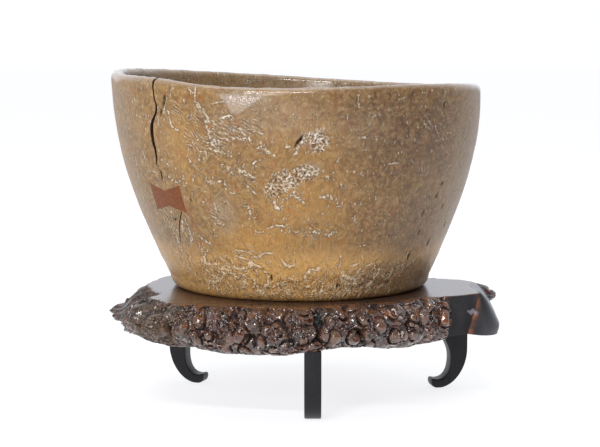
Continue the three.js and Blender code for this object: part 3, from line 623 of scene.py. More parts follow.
def waxed_burl():
    """Burl wood, carved, rubbed and waxed: golden ochre clouds under pale raised strokes, nets and pits."""
    material, tree = fresh_material("waxed_burl")
    solid = place_on(tree, (BOWL_X * MM, 0, SLAB_TOP * MM))
    wall = add(tree, "UVMap", uv_map="wall")
    marks = marks_of(tree, "curl net hatch upright bleach umber gold stroke drawn pit worn low")
    soft = curling(tree, wall, 12, 5)
    tight = curling(tree, curling(tree, soft, 4.5, 1.6), 1.7, 0.5)
    ground, broad, mottle, streaks = burl_ground(tree, marks, solid, soft, tight)

    # Crumbs: grains a little over a millimetre across that break up every stroke, and dark specks between.
    crumb = add(tree, "TexNoise", {"Vector": wall, "Scale": 1 / 1.5, "Detail": 2.0}, noise_dimensions="2D")
    crumbs = add(tree, "MapRange", (crumb, 0.4, 0.52, 0.3, 1.0))
    whole = add(tree, "Math", (marks["low"], 0.55), operation="MULTIPLY")
    crumbs = add(tree, "Mix", (whole, crumbs, 1.0), data_type="FLOAT")
    specks = add(tree, "MapRange", (crumb, 0.34, 0.42, 1.0, 0.0))

    # Curled strokes: seams of one width between warped cells, broken into short runs.
    share = add(tree, "MapRange", (marks["curl"], 0.0, 1.0, 0.15, 0.46))
    loose = curling(tree, curling(tree, wall, 8, 4), 3, 1.2)
    curls, curl_banks = [], []
    for place, size, run in ((tight, 3.6, 3.4), (loose, 5.2, 4.6)):
        cells = {"Vector": place, "Scale": 1 / size}
        seam = add(tree, "TexVoronoi", cells, feature="DISTANCE_TO_EDGE", voronoi_dimensions="2D")
        for kind, inner, outer in ((curls, 0.2, 0.48), (curl_banks, 0.5, 1.5)):
            line = add(tree, "MapRange", (seam, inner / size, outer / size, 1.0, 0.0))
            kind.append(kept(tree, line, share, place, run, 0.05))

    # Ridges about 1.9 mm apart in marked patches: fingerprint ones aslant, and upright ones.
    turn = 2 * math.pi / 1.9
    aslant, up = (0.5 * turn, 0.85 * turn, 0), (0.95 * turn, 0.16 * turn, 0)
    ridges, furrows = [], []
    for name, place, way in (("hatch", soft, aslant), ("upright", tight, up)):
        rows = add(tree, "VectorMath", (place, way), give="Value", operation="DOT_PRODUCT")
        rows = add(tree, "Math", (rows,), operation="SINE")
        share = add(tree, "MapRange", (marks[name], 0.0, 1.0, 0.0, 0.52))
        for kind, span in ((ridges, (0.1, 0.8, 0.0, 1.0)), (furrows, (-0.8, -0.1, 1.0, 0.0))):
            kind.append(kept(tree, add(tree, "MapRange", (rows, *span)), share, tight, 2.6, 0.09))

    # Net: crusts round cells of 2.7 mm, golden within, with a dark pit in some of them.
    cells = {"Vector": curling(tree, wall, 3.4, 1.1), "Scale": 1 / 2.7}
    border = add(tree, "TexVoronoi", cells, feature="DISTANCE_TO_EDGE", voronoi_dimensions="2D")
    share = add(tree, "MapRange", (marks["net"], 0.0, 1.0, 0.0, 0.8))
    net = kept(tree, add(tree, "MapRange", (border, 0.15, 0.26, 1.0, 0.0)), share, tight, 2.2, 0.08)
    hole = kept(tree, add(tree, "MapRange", (border, 0.26, 0.4, 0.0, 1.0)), share, tight, 2.2, 0.08)
    pitted = add(tree, "TexVoronoi", cells, give="Color", feature="F1", voronoi_dimensions="2D")
    pitted = add(tree, "MapRange", (pitted, 0.4, 0.6, 0.25, 1.0))
    hole = add(tree, "Math", (hole, pitted), operation="MULTIPLY")

    # Strokes placed one by one, drawn from their distance in half widths with a frayed edge.
    away = add(tree, "Math", (marks["stroke"],), operation="ABSOLUTE")
    away = add(tree, "Math", (away, 1.75), operation="SUBTRACT")
    fray = add(tree, "TexNoise", {"Vector": wall, "Scale": 1 / 1.9, "Detail": 1.0}, noise_dimensions="2D")
    away = add(tree, "Math", (fray, 3.0, away), operation="MULTIPLY_ADD")
    stroke = add(tree, "MapRange", (away, 0.45, 0.9, 1.0, 0.0))
    stroke = add(tree, "Math", (stroke, marks["drawn"]), operation="MULTIPLY")
    stroke_bank = add(tree, "MapRange", (away, 1.0, 2.4, 1.0, 0.0))
    stroke_bank = add(tree, "Math", (stroke_bank, marks["drawn"]), operation="MULTIPLY")

    # The pale figure and the dark banks beside it, both broken up, with flecks and the fan's painted
    # highlight over them. The banks' darkness is painted shade beside the raised figure.
    flecks, fleck_banks = burl_flecks(tree, marks, wall)
    highlight_rays, highlight_wedge = fan_highlight(tree, wall, crumb)
    pale = strongest(tree, stroke, zip((net, *curls, *ridges), (1.0, 0.8, 0.85, 0.7, 0.5)))
    shaded_bank = add(tree, "Math", (stroke_bank, 0.55), operation="MULTIPLY")
    banks = *curl_banks, *furrows, net, *fleck_banks
    shaded_bank = strongest(tree, shaded_bank, zip(banks, (0.65, 0.65, 0.6, 0.6, 1.0, 0.35, 0.4)))
    figured = add(tree, "Math", (pale, shaded_bank), operation="MAXIMUM")
    specks = add(tree, "Math", (specks, figured), operation="MULTIPLY")
    uneven = add(tree, "TexNoise", {"Vector": wall, "Scale": 1 / 4.2, "Detail": 1.0}, noise_dimensions="2D")
    uneven = add(tree, "MapRange", (uneven, 0.3, 0.58, 0.4, 1.0))
    crumbs = add(tree, "Math", (crumbs, uneven), operation="MULTIPLY")
    pale = add(tree, "Math", (pale, crumbs), operation="MULTIPLY")
    pale = strongest(tree, pale, zip((*flecks, highlight_rays), (0.75, 0.85, 0.95)))
    shaded_bank = add(tree, "Math", (shaded_bank, pale), operation="SUBTRACT", use_clamp=True)
    # Painted shade: the banks beside the figure darkened, more deeply and redder at the foot.
    bank_shade = add(tree, "Mix", (marks["low"], "#4c2f14", "#5f2b0e"), data_type="RGBA")
    sunk = add(tree, "MapRange", (marks["low"], 0.0, 1.0, 0.5, 0.88))
    ground = tinted(tree, ground, shaded_bank, sunk, bank_shade)
    tone = add(tree, "ValToRGB", (broad,), stops=[(0.38, "#cfbfa9"), (0.5, "#d9cab1"), (0.62, "#dcd1c6")])
    tone = tinted(tree, tone, marks["low"], 0.6, "#e3cca6")
    # The pale figure is darker too where the wood is umber and in painted shade.
    tone = tinted(tree, tone, marks["umber"], 0.45, "#98815f")
    # Painted highlight of the fan: its rays go near white, and its wedge a pale pinkish grey.
    tone = add(tree, "Mix", (highlight_rays, tone, "#f2e2d8"), data_type="RGBA")
    ground = tinted(tree, ground, highlight_wedge, 0.5, "#ab9482")
    ground = tinted(tree, ground, pale, 0.8, tone)
    dark = strongest(tree, marks["pit"], ((hole, 0.6), (specks, 0.36)))
    ground = add(tree, "Mix", (dark, ground, "#2c1a0d"), data_type="RGBA")
    ground = tinted(tree, ground, marks["worn"], 0.3, "#957b60")

    # Relief: strokes proud of the ground, pits and their banks sunk, the ground itself gently uneven.
    height = pale
    for pattern, rise in ((dark, -1.3), (shaded_bank, -0.35), (mottle, 1.0), (streaks, 0.36)):
        height = add(tree, "Math", (pattern, rise, height), operation="MULTIPLY_ADD")
    rough = add(tree, "MapRange", (mottle, 0.35, 0.65, 0.42, 0.55))
    return finished(material, {
        "Base Color": ground,
        "Normal": add(tree, "Bump", {"Height": height, "Strength": 1.0, "Distance": 0.55 * MM}),
        "Roughness": add(tree, "Math", (marks["worn"], -0.18, rough), operation="MULTIPLY_ADD"),
        "Coat Weight": add(tree, "MapRange", (marks["worn"], 0.0, 1.0, 0.22, 1.0)),
        "Coat Roughness": 0.14,
        "IOR": 1.43,
    })


def split_shade():
    """Bare wood deep in the split and the pocket, painted dark as the shade inside them."""
    material, tree = fresh_material("split_shade")
    place = place_on(tree, (0, 0, 0), stretch=(1, 1, 0.3))
    grain = add(tree, "TexNoise", {"Vector": place, "Scale": 1 / 1.5, "Detail": 3.0})
    colour = add(tree, "ValToRGB", (grain,), stops=[(0.35, "#170b07"), (0.65, "#331c10")])
    return finished(material, {"Base Color": colour, "Roughness": 0.8, "Specular IOR Level": 0.2})


def key_hardwood():
    """A let-in key of red-brown hardwood, planed flush: straight fine grain along its length, waxed."""
    material, tree = fresh_material("key_hardwood")
    along = (0, 0, math.radians(-KEY_AZIMUTH - 90))
    grain_place = place_on(tree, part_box("butterfly_key")[0], turn=along, stretch=(0.12, 1, 1))
    grain = add(tree, "TexNoise", {"Vector": grain_place, "Scale": 1 / 1.1, "Detail": 4.0, "Roughness": 0.6})
    colour = add(tree, "ValToRGB", (grain,), stops=[(0.3, "#572a08"), (0.5, "#6f380b"), (0.72, "#844912")])
    return finished(material, {
        "Base Color": colour,
        "Normal": add(tree, "Bump", {"Height": grain, "Strength": 0.3, "Distance": 0.12 * MM}),
        "Roughness": 0.45,
        "IOR": 1.38,
    })


def polished_slab():
    """Dark red-brown burl under a rubbed oil polish: glossy, worn orange on edges, and painted near black in
    the creases and underneath as shade.
    """
    material, tree = fresh_material("polished_slab")
    place = place_on(tree, (0, 0, LEG_HEIGHT * MM))
    marks = marks_of(tree, "hollow proud face cut worn olive raked chip egg flare")
    curled = curling(tree, place, 9, 4)
    # Knobs: nearly black to red-brown patches 9 mm across, with amber ones here and there.
    burl = add(tree, "TexNoise", {"Vector": curled, "Scale": 1 / 9, "Detail": 3.0, "Roughness": 0.55})
    browns = [(0.32, "#120807"), (0.43, "#2c140e"), (0.5, "#552818"), (0.57, "#33211b"), (0.67, "#6b4224")]
    colour = add(tree, "ValToRGB", (burl,), stops=browns)
    amber = add(tree, "TexNoise", {"Vector": place, "Scale": 1 / 11, "Detail": 3.0})
    amber = add(tree, "MapRange", (amber, 0.6, 0.69, 0.0, 0.75))
    colour = add(tree, "Mix", (amber, colour, "#82481a"), data_type="RGBA")
    # Eggs redder, the olive stretch, high spots paler, partly as rubbed wear and partly as painted highlight,
    # the raked end greyer, and creases painted black as shade.
    stains = [
        ("egg", 0.55, "#6b3a22"),
        ("olive", 0.6, "#4d3c28"),
        ("proud", 0.2, "#7a6852"),
        ("raked", 0.5, "#4c4643"),
    ]
    for name, strength, tint in stains:
        colour = tinted(tree, colour, marks[name], strength, tint)
    colour = add(tree, "Mix", (marks["hollow"], colour, "#080405"), data_type="RGBA")
    # Top: close red-brown grain along the slab.
    grain_place = place_on(tree, (0, 0, 0), turn=(0, 0, math.radians(8)), stretch=(0.1, 1, 1))
    grain = add(tree, "TexNoise", {"Vector": grain_place, "Scale": 1 / 3, "Detail": 4.0, "Roughness": 0.6})
    top = add(tree, "ValToRGB", (grain,), stops=[(0.35, "#3a2b27"), (0.55, "#50392f"), (0.7, "#664a3a")])
    colour = add(tree, "Mix", (marks["face"], colour, top), data_type="RGBA")
    # Cut end: blue-black, with brown blooms and a faint upright grain, and past its ridge a grey painted
    # reflection of the bright backdrop.
    end_place = place_on(tree, (0, 0, 0), stretch=(1, 1, 0.3))
    end_grain = add(tree, "TexNoise", {"Vector": end_place, "Scale": 1 / 6, "Detail": 4.0})
    end = add(tree, "ValToRGB", (end_grain,), stops=[(0.42, "#0a0a10"), (0.55, "#17131a"), (0.68, "#33201a")])
    colour = add(tree, "Mix", (marks["cut"], colour, end), data_type="RGBA")
    colour = tinted(tree, colour, marks["flare"], 0.8, "#8a8c92")
    # Edges worn orange in places, and the pale chip, partly a painted glint.
    fade = add(tree, "TexNoise", {"Vector": place, "Scale": 1 / 5, "Detail": 3.0})
    fade = add(tree, "MapRange", (fade, 0.38, 0.6, 0.25, 1.0))
    colour = tinted(tree, colour, marks["worn"], fade, "#94562c")
    colour = add(tree, "Mix", (marks["chip"], colour, "#85838a"), data_type="RGBA")

    # Relief: bubbles 1.4 mm across in clusters, and wrinkles, on the rough edge alone.
    cells = {"Vector": curling(tree, place, 6, 1.2), "Scale": 1 / 1.4}
    bubbles = add(tree, "TexVoronoi", cells, give="Distance", feature="F1")
    bubbles = add(tree, "MapRange", (bubbles, 0.1, 0.62, 1.0, 0.0), interpolation_type="SMOOTHSTEP")
    clusters = add(tree, "TexNoise", {"Vector": place, "Scale": 1 / 8, "Detail": 1.0})
    clusters = add(tree, "MapRange", (clusters, 0.46, 0.53, 0.0, 1.3))
    bubbles = add(tree, "Math", (bubbles, clusters), operation="MULTIPLY")
    wrinkle = add(tree, "TexNoise", {"Vector": curled, "Scale": 1 / 3.2, "Detail": 3.0, "Distortion": 0.8})
    height = add(tree, "Math", (wrinkle, 0.4, bubbles), operation="MULTIPLY_ADD")
    smooth_share = add(tree, "Math", (marks["face"], marks["cut"]), operation="MAXIMUM")
    rough_share = add(tree, "MapRange", (smooth_share, 0.0, 1.0, 1.0, 0.02))
    height = add(tree, "Math", (height, rough_share), operation="MULTIPLY")
    # Polish: wet-looking on the knobs, none in the creases or on the cut, thin where it is olive or raked.
    rough = add(tree, "MapRange", (burl, 0.3, 0.7, 0.09, 0.18))
    for name, dullness in (("hollow", 0.85), ("face", 0.17), ("cut", 0.75), ("flare", 0.32)):
        rough = add(tree, "Mix", (marks[name], rough, dullness), data_type="FLOAT")
    coat = add(tree, "MapRange", (smooth_share, 0.0, 1.0, 1.0, 0.0))
    matt = add(tree, "Math", (marks["cut"], marks["hollow"]), operation="MAXIMUM")
    matt = strongest(tree, matt, ((marks["olive"], 0.85), (marks["raked"], 0.85)))
    return finished(material, {
        "Base Color": colour,
        "Normal": add(tree, "Bump", {"Height": height, "Strength": 1.0, "Distance": 0.8 * MM}),
        "Roughness": rough,
        "Coat Weight": add(tree, "Mix", (matt, coat, 0.0), data_type="FLOAT"),
        "Coat Roughness": 0.05,
        "Specular IOR Level": 0.62,
        "IOR": 1.5,
    })


def black_hardwood():
    """Black-stained hardwood, carved and oiled: faint grain down the leg, satin."""
    material, tree = fresh_material("black_hardwood")
    grain_place = place_on(tree, (0, 0, 0), stretch=(1, 1, 0.14))
    grain = add(tree, "TexNoise", {"Vector": grain_place, "Scale": 1 / 1.2, "Detail": 4.0, "Roughness": 0.6})
    colour = add(tree, "ValToRGB", (grain,), stops=[(0.35, "#0c0c0f"), (0.6, "#15151a"), (0.8, "#222125")])
    return finished(material, {
        "Base Color": colour,
        "Normal": add(tree, "Bump", {"Height": grain, "Strength": 0.25, "Distance": 0.12 * MM}),
        "Roughness": 0.4,
        "IOR": 1.38,
    })


def smoothstep(value, low, high):
    share = np.clip((np.asarray(value, float) - low) / (high - low), 0, 1)
    return share * share * (3 - 2 * share)


def wrapped(angle):
    return np.arctan2(np.sin(angle), np.cos(angle))


def band(values, middle, width, power=2):
    """1 where values are at the middle, falling away softly over the width."""
    return np.exp(-(((values - middle) / width) ** power))


def dome(away, radius):
    """Height of a round cap: 1 at its middle, 0 from its radius on."""
    return np.sqrt(np.clip(1 - (away / radius) ** 2, 0, 1))


def outer_wall(height):
    share = np.minimum(height / BELLY_HEIGHT, 1)
    return BASE_RADIUS + (RIM_RADIUS - BASE_RADIUS) * np.sin(np.pi / 2 * share)


def inner_wall(height):
    share = min(max(height - FLOOR_THICKNESS, 0) / (BELLY_HEIGHT - FLOOR_THICKNESS), 1)
    widening = RIM_RADIUS - LIP_THICKNESS - FLOOR_RADIUS
    return FLOOR_RADIUS + widening * math.sin(math.pi / 2 * share) ** WALL_ROUNDNESS


def rim_rise(azimuth):
    """How much higher the rim is than its mean, by direction."""
    from_split = wrapped(azimuth - math.radians(SPLIT_AZIMUTH)) / math.radians(CREST_SPREAD)
    return (
        RIM_TILT * np.cos(azimuth)
        + RIM_SADDLE * np.cos(2 * azimuth)
        + RIM_TWIST * np.sin(2 * azimuth)
        + RIM_RIPPLE * np.cos(3 * azimuth + 2.5)
        + RIM_CREST * np.exp(-(from_split**2))
    )


def settled(points):
    """Points of the true bowl of revolution, moved to their places on the hand-cut one."""
    x, y, z = np.asarray(points, float).T
    azimuth = np.arctan2(y, x)
    share = z / BOWL_HEIGHT
    round_off = OVALITY * (np.cos(2 * azimuth + 0.8) + 0.7 * np.cos(3 * azimuth - 1.1))
    swell = 1 + round_off * share
    lift = np.maximum(0, z - FLOOR_THICKNESS) / (BOWL_HEIGHT - FLOOR_THICKNESS)
    rise = rim_rise(azimuth) * lift**2
    return np.column_stack([x * swell + BOWL_LEAN * share + BOWL_X, y * swell, z + rise + SLAB_TOP])


def bowl_profile():
    """The bowl's section from the middle of the underside, round the lip, to the middle of its floor."""
    heel_top = outer_wall(HEEL_RADIUS)
    lip_height = BOWL_HEIGHT - LIP_THICKNESS / 2
    lip_centre = RIM_RADIUS - LIP_THICKNESS / 2
    section = [((heel_top - HEEL_RADIUS) * i / FLOOR_RINGS, 0) for i in range(FLOOR_RINGS)]
    for turn in np.linspace(0, math.pi / 2, HEEL_RINGS + 1):
        section.append((heel_top - HEEL_RADIUS * (1 - math.sin(turn)), HEEL_RADIUS * (1 - math.cos(turn))))
    for height in np.linspace(HEEL_RADIUS, lip_height, WALL_RINGS + 1)[1:]:
        section.append((outer_wall(height), height))
    for turn in np.linspace(0, math.pi, LIP_RINGS + 1)[1:]:
        section.append(
            (lip_centre + LIP_THICKNESS / 2 * math.cos(turn), lip_height + LIP_THICKNESS / 2 * math.sin(turn))
        )
    for share in np.linspace(1, 0, INNER_RINGS + 1)[1:]:
        height = FLOOR_THICKNESS + (lip_height - FLOOR_THICKNESS) * share**1.6
        section.append((inner_wall(height), height))
    section += [(FLOOR_RADIUS * i / FLOOR_RINGS, FLOOR_THICKNESS) for i in range(FLOOR_RINGS - 1, -1, -1)]
    return section


def on_wall(degrees, heights, azimuth, height):
    """Distances along and up the wall from a spot on it, in millimetres."""
    along = wrapped(np.radians(degrees - azimuth)) * outer_wall(heights)
    return along, heights - height


def patches(degrees, heights, spots):
    """The strongest of several soft oval spots at each point of the wall."""
    best = np.zeros(len(degrees))
    for azimuth, height, half_width, half_height, strength in spots:
        along, up = on_wall(degrees, heights, azimuth, height)
        reach = (along / half_width) ** 2 + (up / half_height) ** 2
        best = np.maximum(best, strength * np.exp(-(reach**1.5)))
    return best


def drawn_strokes(degrees, heights):
    """Sideways distance from the nearest placed stroke, in half widths, and how much of it shows there."""
    nearest = np.full(len(degrees), 9.0)
    sideways, shown = np.full(len(degrees), 9.0), np.zeros(len(degrees))
    for width, *steps in STROKES:
        knots = [(azimuth, height, 0) for azimuth, height in steps]
        line = catmull_rom(knots, np.linspace(0, 1, 5 * len(steps) - 4))
        for i, (a, b) in enumerate(zip(line, line[1:])):
            near = np.flatnonzero((np.abs(degrees - a.x) < 5) & (np.abs(heights - a.y) < 7))
            along, up = on_wall(degrees[near], heights[near], a.x, a.y)
            run, climb = math.radians(b.x - a.x) * float(outer_wall(a.y)), b.y - a.y
            length = math.hypot(run, climb)
            share = (along * run + up * climb) / length**2
            on = np.clip(share, 0, 1)
            side = (along * climb - up * run) / length
            away = np.hypot(along - on * run, up - on * climb)
            before = -share * length if i == 0 else np.zeros(len(near))
            beyond = (share - 1) * length if i == len(line) - 2 else before
            past = np.maximum(np.maximum(before, beyond), 0)
            value = np.where(past > 0, side, np.copysign(away, side))
            better = away < nearest[near]
            nearest[near[better]] = away[better]
            sideways[near[better]] = (value / (width / 2))[better]
            seen = smoothstep(np.abs(value), 1.7 + width / 2, 0.9 + width / 2) * smoothstep(past, 0.8, 0.1)
            shown[near[better]] = seen[better]
    return np.clip(sideways, -5, 5), shown


def pits(degrees, heights):
    """Depth of the pits and short cracks at each point, in millimetres."""
    deepest = np.zeros(len(degrees))
    for azimuth, height, half_width, half_height, depth, lean in PITS:
        along, up = on_wall(degrees, heights, azimuth, height)
        reach = np.hypot((along - lean * up) / half_width, up / half_height)
        deepest = np.maximum(deepest, depth * (1 - smoothstep(reach, 0.5, 1.3)))
    return deepest


def fans_and_eyes(degrees, heights):
    """Relief of the fans of fine ridges and of the ringed eyes, in millimetres."""
    total = np.zeros(len(degrees))
    for azimuth, height, reach, ridges in FANS:
        along, up = on_wall(degrees, heights, azimuth, height)
        away = np.hypot(along, up)
        turn = np.arctan2(up, along)
        fade = smoothstep(away, reach, reach * 0.5) * smoothstep(away, 1, 4)
        fade = fade * smoothstep(np.sin(turn), -0.2, 0.3)
        total += 0.2 * np.sin(turn * ridges + 2.5 * np.sin(turn * 3)) * fade
    for azimuth, height, reach, spacing in EYES:
        along, up = on_wall(degrees, heights, azimuth, height)
        away = np.hypot(along * 0.85, up) + 0.7 * np.sin(np.arctan2(up, along) * 3 + azimuth)
        total += 0.16 * np.sin(away * 2 * np.pi / spacing) * smoothstep(away, reach, reach * 0.4)
    return total


def soft_noise(points, size, seed):
    """Smooth noise at points, in about -1 to 1, with blotches about size across."""
    shift = Vector((seed * 3.1, seed * 7.7, seed * 1.3))
    return np.array([noise.noise(Vector(p) / size + shift) for p in points])


def bowl_relief(points, degrees, heights):
    """Hand-rubbed relief of the outer wall along its normal, in millimetres."""
    dense = patches(degrees, heights, CURL_PATCHES)
    low_down = smoothstep(heights, 34, 14)
    drift = 0.3 * soft_noise(points, 38, 1) + 0.14 * soft_noise(points, 12, 2)
    worms = 1 - np.clip(np.abs(soft_noise(points, 4.2, 3)) / 0.16, 0, 1)
    worms = worms * (0.15 * dense + 0.75 * dense * low_down)
    lumps = 0.3 * soft_noise(points, 5.5, 4) * (0.25 + dense + low_down)
    return drift + worms + lumps + fans_and_eyes(degrees, heights) - pits(degrees, heights) - 0.45


def mesh_object(name, bm, material=None, scale=MM):
    """A finished piece from a bmesh in millimetres."""
    bmesh.ops.scale(bm, verts=bm.verts, vec=(scale, scale, scale))
    mesh = bpy.data.meshes.new(name)
    bm.to_mesh(mesh)
    bm.free()
    made = bpy.data.objects.new(name, mesh)
    bpy.context.scene.collection.objects.link(made)
    if material:
        made.data.materials.append(material)
    return made


def catmull_rom(knots, shares, closed=False):
    """Points on a centripetal Catmull-Rom curve through the knots, at shares of its spans."""
    knots = [Vector(k) for k in knots]
    count = len(knots)
    if not closed:
        knots = [2 * knots[0] - knots[1]] + knots + [2 * knots[-1] - knots[-2]]
    points = []
    for share in shares:
        position = share * (count if closed else count - 1)
        span = min(int(position), count - 1 if closed else count - 2)
        t = position - span
        if closed:
            a, b, c, d = (knots[(span + k) % count] for k in (-1, 0, 1, 2))
        else:
            a, b, c, d = knots[span : span + 4]
        before, during, after = (math.sqrt((q - p).length) for p, q in ((a, b), (b, c), (c, d)))
        start = ((b - a) / before - (c - a) / (before + during) + (c - b) / during) * during
        end = ((c - b) / during - (d - b) / (during + after) + (d - c) / after) * during
        curve = (2 * b - 2 * c + start + end) * t**3 + (3 * c - 3 * b - 2 * start - end) * t**2
        points.append(curve + start * t + b)
    return points


def split_cutter(path):
    """A closed wedge down the wall that narrows into the wood, swept through three-cornered sections."""
    bm = bmesh.new()
    loops = []
    for height, sideways, opening in catmull_rom(path, np.linspace(0, 1, SPLIT_STEPS + 1)):
        at_rim = float(smoothstep(height, BELLY_HEIGHT - DEEPEN_FROM, BELLY_HEIGHT + DEEPEN_TO))
        depth = SPLIT_DEPTH + (RIM_SPLIT_DEPTH - SPLIT_DEPTH) * at_rim
        radius = outer_wall(height)
        jitter = 0.35 * noise.noise(Vector((height / 1.7, sideways, 3)))
        middle = math.radians(SPLIT_AZIMUTH) + (sideways + jitter) / radius
        apart = opening / 2 * 1.5 / radius
        corners = [(radius + depth / 2, -apart), (radius + depth / 2, apart), (radius - depth, 0)]
        places = [(r * math.cos(middle + t), r * math.sin(middle + t), height) for r, t in corners]
        verts = [bm.verts.new(p) for p in settled(places)]
        loops.append([bm.edges.new((verts[k], verts[(k + 1) % 3])) for k in range(3)])
    for lower, upper in zip(loops, loops[1:]):
        bmesh.ops.bridge_loops(bm, edges=lower + upper)
    bmesh.ops.holes_fill(bm, edges=loops[0] + loops[-1], sides=3)
    bmesh.ops.recalc_face_normals(bm, faces=bm.faces)
    return mesh_object("split_cutter", bm)


def only(kind, geometry):
    """The vertices or the edges among what an operator gave back."""
    return [item for item in geometry if isinstance(item, kind)]


def key_prism(name, clearance, depth):
    """The key's bow-tie outline, run in from outside the wall to its let-in depth."""
    end, waist, half = KEY_END / 2 + clearance, KEY_WAIST / 2 + clearance, KEY_LENGTH / 2 + clearance
    outline = [(-half, -end), (0, -waist), (half, -end), (half, end), (0, waist), (-half, end)]
    bm = bmesh.new()
    face = bm.faces.new([bm.verts.new((x, y, -depth)) for x, y in outline])
    grown = bmesh.ops.extrude_face_region(bm, geom=[face])["geom"]
    bmesh.ops.translate(bm, verts=only(bmesh.types.BMVert, grown), vec=(0, 0, 3 * depth))
    azimuth = math.radians(KEY_AZIMUTH)
    radius = outer_wall(KEY_HEIGHT)
    seat = settled([(radius * math.cos(azimuth), radius * math.sin(azimuth), KEY_HEIGHT)])[0]
    slope = math.atan2(outer_wall(KEY_HEIGHT + 1) - outer_wall(KEY_HEIGHT - 1), 2)
    turn = (
        Matrix.Translation(Vector(seat))
        @ Matrix.Rotation(azimuth + math.pi / 2, 4, "Z")
        @ Matrix.Rotation(math.pi / 2 + slope, 4, "X")
        @ Matrix.Rotation(math.radians(KEY_TILT), 4, "Z")
    )
    bmesh.ops.transform(bm, matrix=turn, verts=bm.verts)
    bmesh.ops.recalc_face_normals(bm, faces=bm.faces)
    return mesh_object(name, bm)


def worked(target, operation, tools):
    """Cuts the tools out of target, or keeps what they share, and removes the tools."""
    for tool in tools:
        modifier = target.modifiers.new("work", "BOOLEAN")
        modifier.operation = operation
        modifier.material_mode = "TRANSFER"
        modifier.solver = "EXACT"
        modifier.object = tool
    graph = bpy.context.evaluated_depsgraph_get()
    graph.update()
    mesh = bpy.data.meshes.new_from_object(target.evaluated_get(graph))
    target.modifiers.clear()
    target.data = mesh
    for tool in tools:
        bpy.data.objects.remove(tool)


def marked(piece, name, values):
    """Stores a value for each vertex, for the piece's material to read."""
    mark = piece.data.attributes.new(name, "FLOAT", "POINT")
    mark.data.foreach_set("value", np.asarray(values, np.float32))


def hand_over(piece, node, body, sharp_degrees):
    """Shades a finished piece, hides the part that it stands for, and hangs it under the body that it moves
    with.
    """
    piece.data.shade_smooth()
    piece.data.set_sharp_from_angle(angle=math.radians(sharp_degrees))
    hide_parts(node)
    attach(piece, body)


def bowl_blank():
    """The whole bowl with its relief, before the split and the key's pocket are cut."""
    bm = bmesh.new()
    front, back = math.radians(FRONT_TO - FRONT_FROM), math.radians(360 - FRONT_TO + FRONT_FROM)
    for start, sweep, steps in ((FRONT_FROM, front, FRONT_STEPS), (FRONT_TO, back, BACK_STEPS)):
        turn = math.radians(start)
        section = [bm.verts.new((r * math.cos(turn), r * math.sin(turn), h)) for r, h in bowl_profile()]
        edges = [bm.edges.new(pair) for pair in zip(section, section[1:])]
        bmesh.ops.spin(bm, geom=section + edges, axis=(0, 0, 1), cent=(0, 0, 0), angle=sweep, steps=steps)
    bmesh.ops.remove_doubles(bm, verts=bm.verts, dist=1e-3)
    bmesh.ops.recalc_face_normals(bm, faces=bm.faces)
    bm.normal_update()
    places = np.array([v.co for v in bm.verts])
    normals = np.array([v.normal for v in bm.verts])
    radii = np.hypot(places[:, 0], places[:, 1])
    degrees = np.degrees(np.arctan2(places[:, 1], places[:, 0]))
    heights = places[:, 2]
    # Full relief on the outer wall, a soft share of it inside, none on the flat underside and inside floor.
    outside = smoothstep(radii - outer_wall(heights), -4, -2) * smoothstep(heights, 0.6, 4)
    inside = smoothstep(heights, FLOOR_THICKNESS + 1, FLOOR_THICKNESS + 8) * (1 - outside)
    relief = np.minimum(bowl_relief(places, degrees, heights), 0.5 * smoothstep(heights, 112, 95) - 0.05)
    highlight_wedge = 0.3 * soft_noise(places, 7, 5) + 0.2 * soft_noise(places, 20, 6) - 0.35
    places += normals * (relief * outside + highlight_wedge * inside)[:, None]
    for vert, place in zip(bm.verts, settled(places)):
        vert.co = place
    return mesh_object("burl_bowl", bm)


def read(items, name, kind, width=1):
    """One property of every item of a mesh, as a flat array."""
    values = np.empty(len(items) * width, kind)
    items.foreach_get(name, values)
    return values


def unrolled(bowl, azimuths, heights, inward):
    """Lays the wall out flat, in millimetres round it and up it with the seam at the back, for the figure."""
    mesh = bowl.data
    corners = read(mesh.loops, "vertex_index", np.int32)
    starts, totals = (read(mesh.polygons, name, np.int32) for name in ("loop_start", "loop_total"))
    normals = read(mesh.polygons, "normal", np.float32, 3)
    first = np.repeat(azimuths[corners[starts]], totals)
    level = np.repeat(np.abs(normals[2::3]) > 0.97, totals) & (inward[corners] > 15)
    around = (wrapped(first + math.pi / 2) + wrapped(azimuths[corners] - first)) * UNROLLED_RADIUS
    up = (heights + inward)[corners]
    radii = (outer_wall(heights) - inward)[corners]
    around = np.where(level, radii * np.cos(azimuths[corners]), around)
    up = np.where(level, radii * np.sin(azimuths[corners]), up)
    flat = np.column_stack([around, up]).astype(np.float32)
    mesh.uv_layers.new(name="wall").data.foreach_set("uv", flat.ravel())


